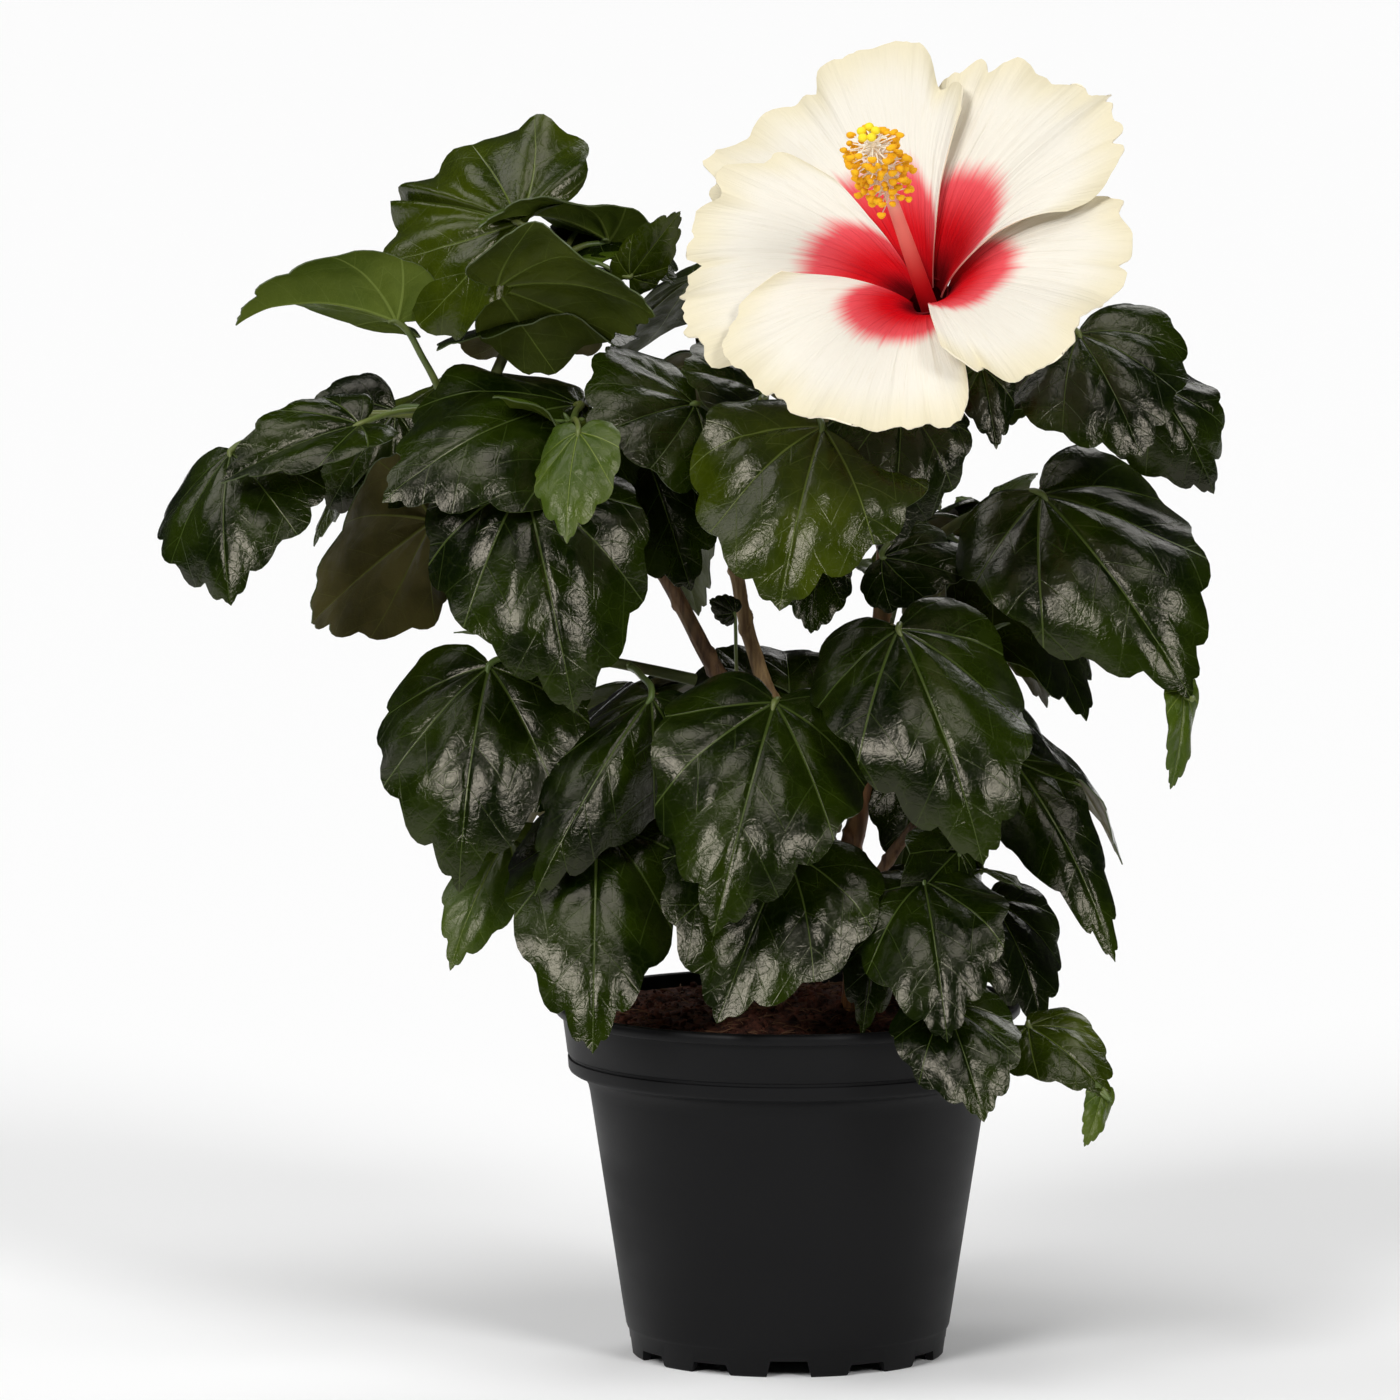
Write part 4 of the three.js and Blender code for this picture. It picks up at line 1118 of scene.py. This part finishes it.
# %% The flower's tube
# The petals' feet join in a short tube, which closes the bottom of the throat.
TUBE_WALL = [(2.0, -21), (4.4, -14), (5.4, -6), (6.4, 2)]
TUBE_THICKNESS = 0.6 * MM
wall = [np.array([radius, height]) * MM for radius, height in TUBE_WALL]


def tube_place(across, along):
    reach, rise = catmull(wall, along).T
    return flower_place(reach, across * math.pi, rise)


petal_tube = sheet(60, 16, tube_place)
edit(petal_tube, (bpy.ops.mesh.remove_doubles, MERGE))
apply_modifier(petal_tube, "SOLIDIFY", thickness=TUBE_THICKNESS, offset=0)
edit(petal_tube, (bpy.ops.mesh.normals_make_consistent, OUTWARD))
throat_red, tree, shader = new_material("throat", rough=0.6, gloss=0.12)
tone = speckle(tree, object_place(tree), 500)
coloured(tree, shader, blend(tree, tone, (0.05, 0.0, 0.002), (0.20, 0.001, 0.004)))
petal_tube.data.materials.append(throat_red)
finished(petal_tube, "petal_tube")

# %% [markdown]
# ### The column, stamens and stigmas
#
# A slender tube rises from the throat, red at its foot and cream above. Its last third bristles with
# short threads, each with an orange anther, and five round stigmas stand at its end.

# %% Column
COLUMN_LENGTH = 67 * MM
HEAD_FOOT = 0.68  # the share of the column where the stamens start
HEAD_END = 0.985  # and where they end
STAMENS = 140
GOLDEN_ANGLE = math.radians(137.5)
column_line = [THROAT + FLOWER_AXIS * COLUMN_LENGTH * share for share in (-0.12, 0.2, 0.5, 0.8, 0.99)]
column = tube(column_line, 2.6 * MM, 1.1 * MM, 28, 60)
column_skin, tree, shader = new_material("column", rough=0.5, gloss=0.3)
across, along = map_sides(tree, own_map(tree, "UVMap"))
rose = blend(tree, ramp(tree, along, 0.15, 0.5), (0.60, 0.006, 0.012), (0.86, 0.20, 0.16))
coloured(tree, shader, blend(tree, ramp(tree, along, 0.5, 0.8), rose, (0.92, 0.78, 0.58)))
column.data.materials.append(column_skin)
finished(column, "stamen_column", ["flower_column"])

# %% Threads and anthers
lines, anther_spots = [], []
for i in range(STAMENS):
    high = (HEAD_FOOT + (HEAD_END - HEAD_FOOT) * (i + 0.5) / STAMENS) * COLUMN_LENGTH
    turn = i * GOLDEN_ANGLE
    far = rng.uniform(5.2, 8.4) * MM
    lean = rng.uniform(-0.8, 2.4) * MM
    end = flower_point(far, turn + rng.uniform(-0.1, 0.1), high + lean)
    lines.append([flower_point(0.9 * MM, turn, high), flower_point(far * 0.55, turn, high + lean * 0.8), end])
    spin = Matrix.Rotation(rng.uniform(0, 6.28), 4, "Z") @ Matrix.Rotation(rng.uniform(0, 3.14), 4, "X")
    size = rng.uniform(0.85, 1.15)
    bean = Matrix.Diagonal((1.3 * MM * size, 0.95 * MM * size, 0.85 * MM * size, 1))
    anther_spots.append(Matrix.Translation(end) @ spin @ bean)
threads = rods(lines, [[0.26 * MM, 0.2 * MM, 0.16 * MM]] * STAMENS, sides=6, steps=3)
thread_skin, tree, shader = new_material("thread", rough=0.5, gloss=0.3)
tone = speckle(tree, object_place(tree), 200)
coloured(tree, shader, blend(tree, tone, (0.92, 0.80, 0.62), (0.95, 0.90, 0.80)))
threads.data.materials.append(thread_skin)
finished(threads, "stamen_threads")

anther = ball(2)
for vertex in anther.data.vertices:  # a kidney: its middle is pinched on one side
    vertex.co.y += 0.55 * vertex.co.x**2 - 0.25
anthers = scattered(anther, anther_spots)
pollen, tree, shader = new_material("pollen", rough=0.8, gloss=0.2)
place = object_place(tree)
coloured(tree, shader, blend(tree, speckle(tree, place, 700), (0.86, 0.34, 0.004), (0.98, 0.58, 0.02)))
bumped(tree, shader, speckle(tree, place, 3500, 2), 0.7, 0.0002)
anthers.data.materials.append(pollen)
finished(anthers, "anthers")

# %% Stigmas
STYLES = 5
STYLE_STOPS = [(0.3, 0.97), (0.9, 1.015), (2.1, 1.045)]  # millimetres out, and shares of the column
lines, pad_spots = [], []
for i in range(STYLES):
    turn = i * 2 * math.pi / STYLES + 0.4
    line = [flower_point(out * MM, turn, share * COLUMN_LENGTH) for out, share in STYLE_STOPS]
    lines.append(line)
    pad_spots.append(Matrix.Translation(line[-1]) @ Matrix.Diagonal((1.3 * MM, 1.3 * MM, 1.2 * MM, 1)))
styles = rods(lines, [[0.4 * MM, 0.36 * MM, 0.34 * MM]] * STYLES, sides=8, steps=4)
styles.data.materials.append(thread_skin)
finished(styles, "styles")
pads = scattered(ball(3), pad_spots)
pad_skin, tree, shader = new_material("stigma", rough=0.7, gloss=0.2)
grains = speckle(tree, object_place(tree), 900)
coloured(tree, shader, blend(tree, grains, (0.90, 0.66, 0.01), (0.95, 0.80, 0.05)))
pads.data.materials.append(pad_skin)
finished(pads, "stigmas")

# %% [markdown]
# ### The calyx
#
# Behind the petals a green cup with five pointed lobes holds the tube, with a ring of narrow bracts
# under it, and a stalk joins it to its bough.

# %% Calyx, bracts and flower stalk
TUBE_LENGTH = 24 * MM
LOBES = 5
CUP_LENGTH = 27 * MM
CUP_FOOT = -TUBE_LENGTH - 3 * MM
CUP_THICKNESS = 0.7 * MM
BRACTS = 7


def calyx_place(across, along):
    turn = across * math.pi
    lobe = 0.62 + 0.38 * (1 - np.abs(np.sin(LOBES * turn / 2)) ** 0.8)
    run = along * CUP_LENGTH * lobe
    reach = 2.2 * MM + 4.6 * MM * np.sin(np.clip(run / (18 * MM), 0, 1) * math.pi / 2)
    reach += 2.5 * MM * np.clip(run / CUP_LENGTH - 0.6, 0, 1) ** 2 * 6
    reach += 0.25 * MM * np.cos(2 * LOBES * turn)
    return flower_place(reach, turn, run + CUP_FOOT)


calyx = sheet(100, 24, calyx_place)
edit(calyx, (bpy.ops.mesh.remove_doubles, MERGE))
apply_modifier(calyx, "SOLIDIFY", thickness=CUP_THICKNESS, offset=0)
edit(calyx, (bpy.ops.mesh.normals_make_consistent, OUTWARD))
calyx.data.materials.append(stalk_green)
finished(calyx, "calyx")

lines, radii = [], []
for i in range(BRACTS):
    turn = i * 2 * math.pi / BRACTS
    stops = [(1.5, 0), (6.5, 5), (9.5, 12)]
    lines.append([flower_point(out * MM, turn, CUP_FOOT + rise * MM) for out, rise in stops])
    radii.append([0.8 * MM, 0.65 * MM, 0.15 * MM])
stalk_end = THROAT - FLOWER_AXIS * (TUBE_LENGTH + 1 * MM)
lines.append([LIMB_LINES["flower_bough"][-2], LIMB_LINES["flower_bough"][-1], stalk_end])
radii.append([1.2 * MM, 1.45 * MM, 1.9 * MM])
flower_stalk = rods(lines, radii, sides=12, steps=8)
flower_stalk.data.materials.append(stalk_green)
finished(flower_stalk, "flower_stalk")
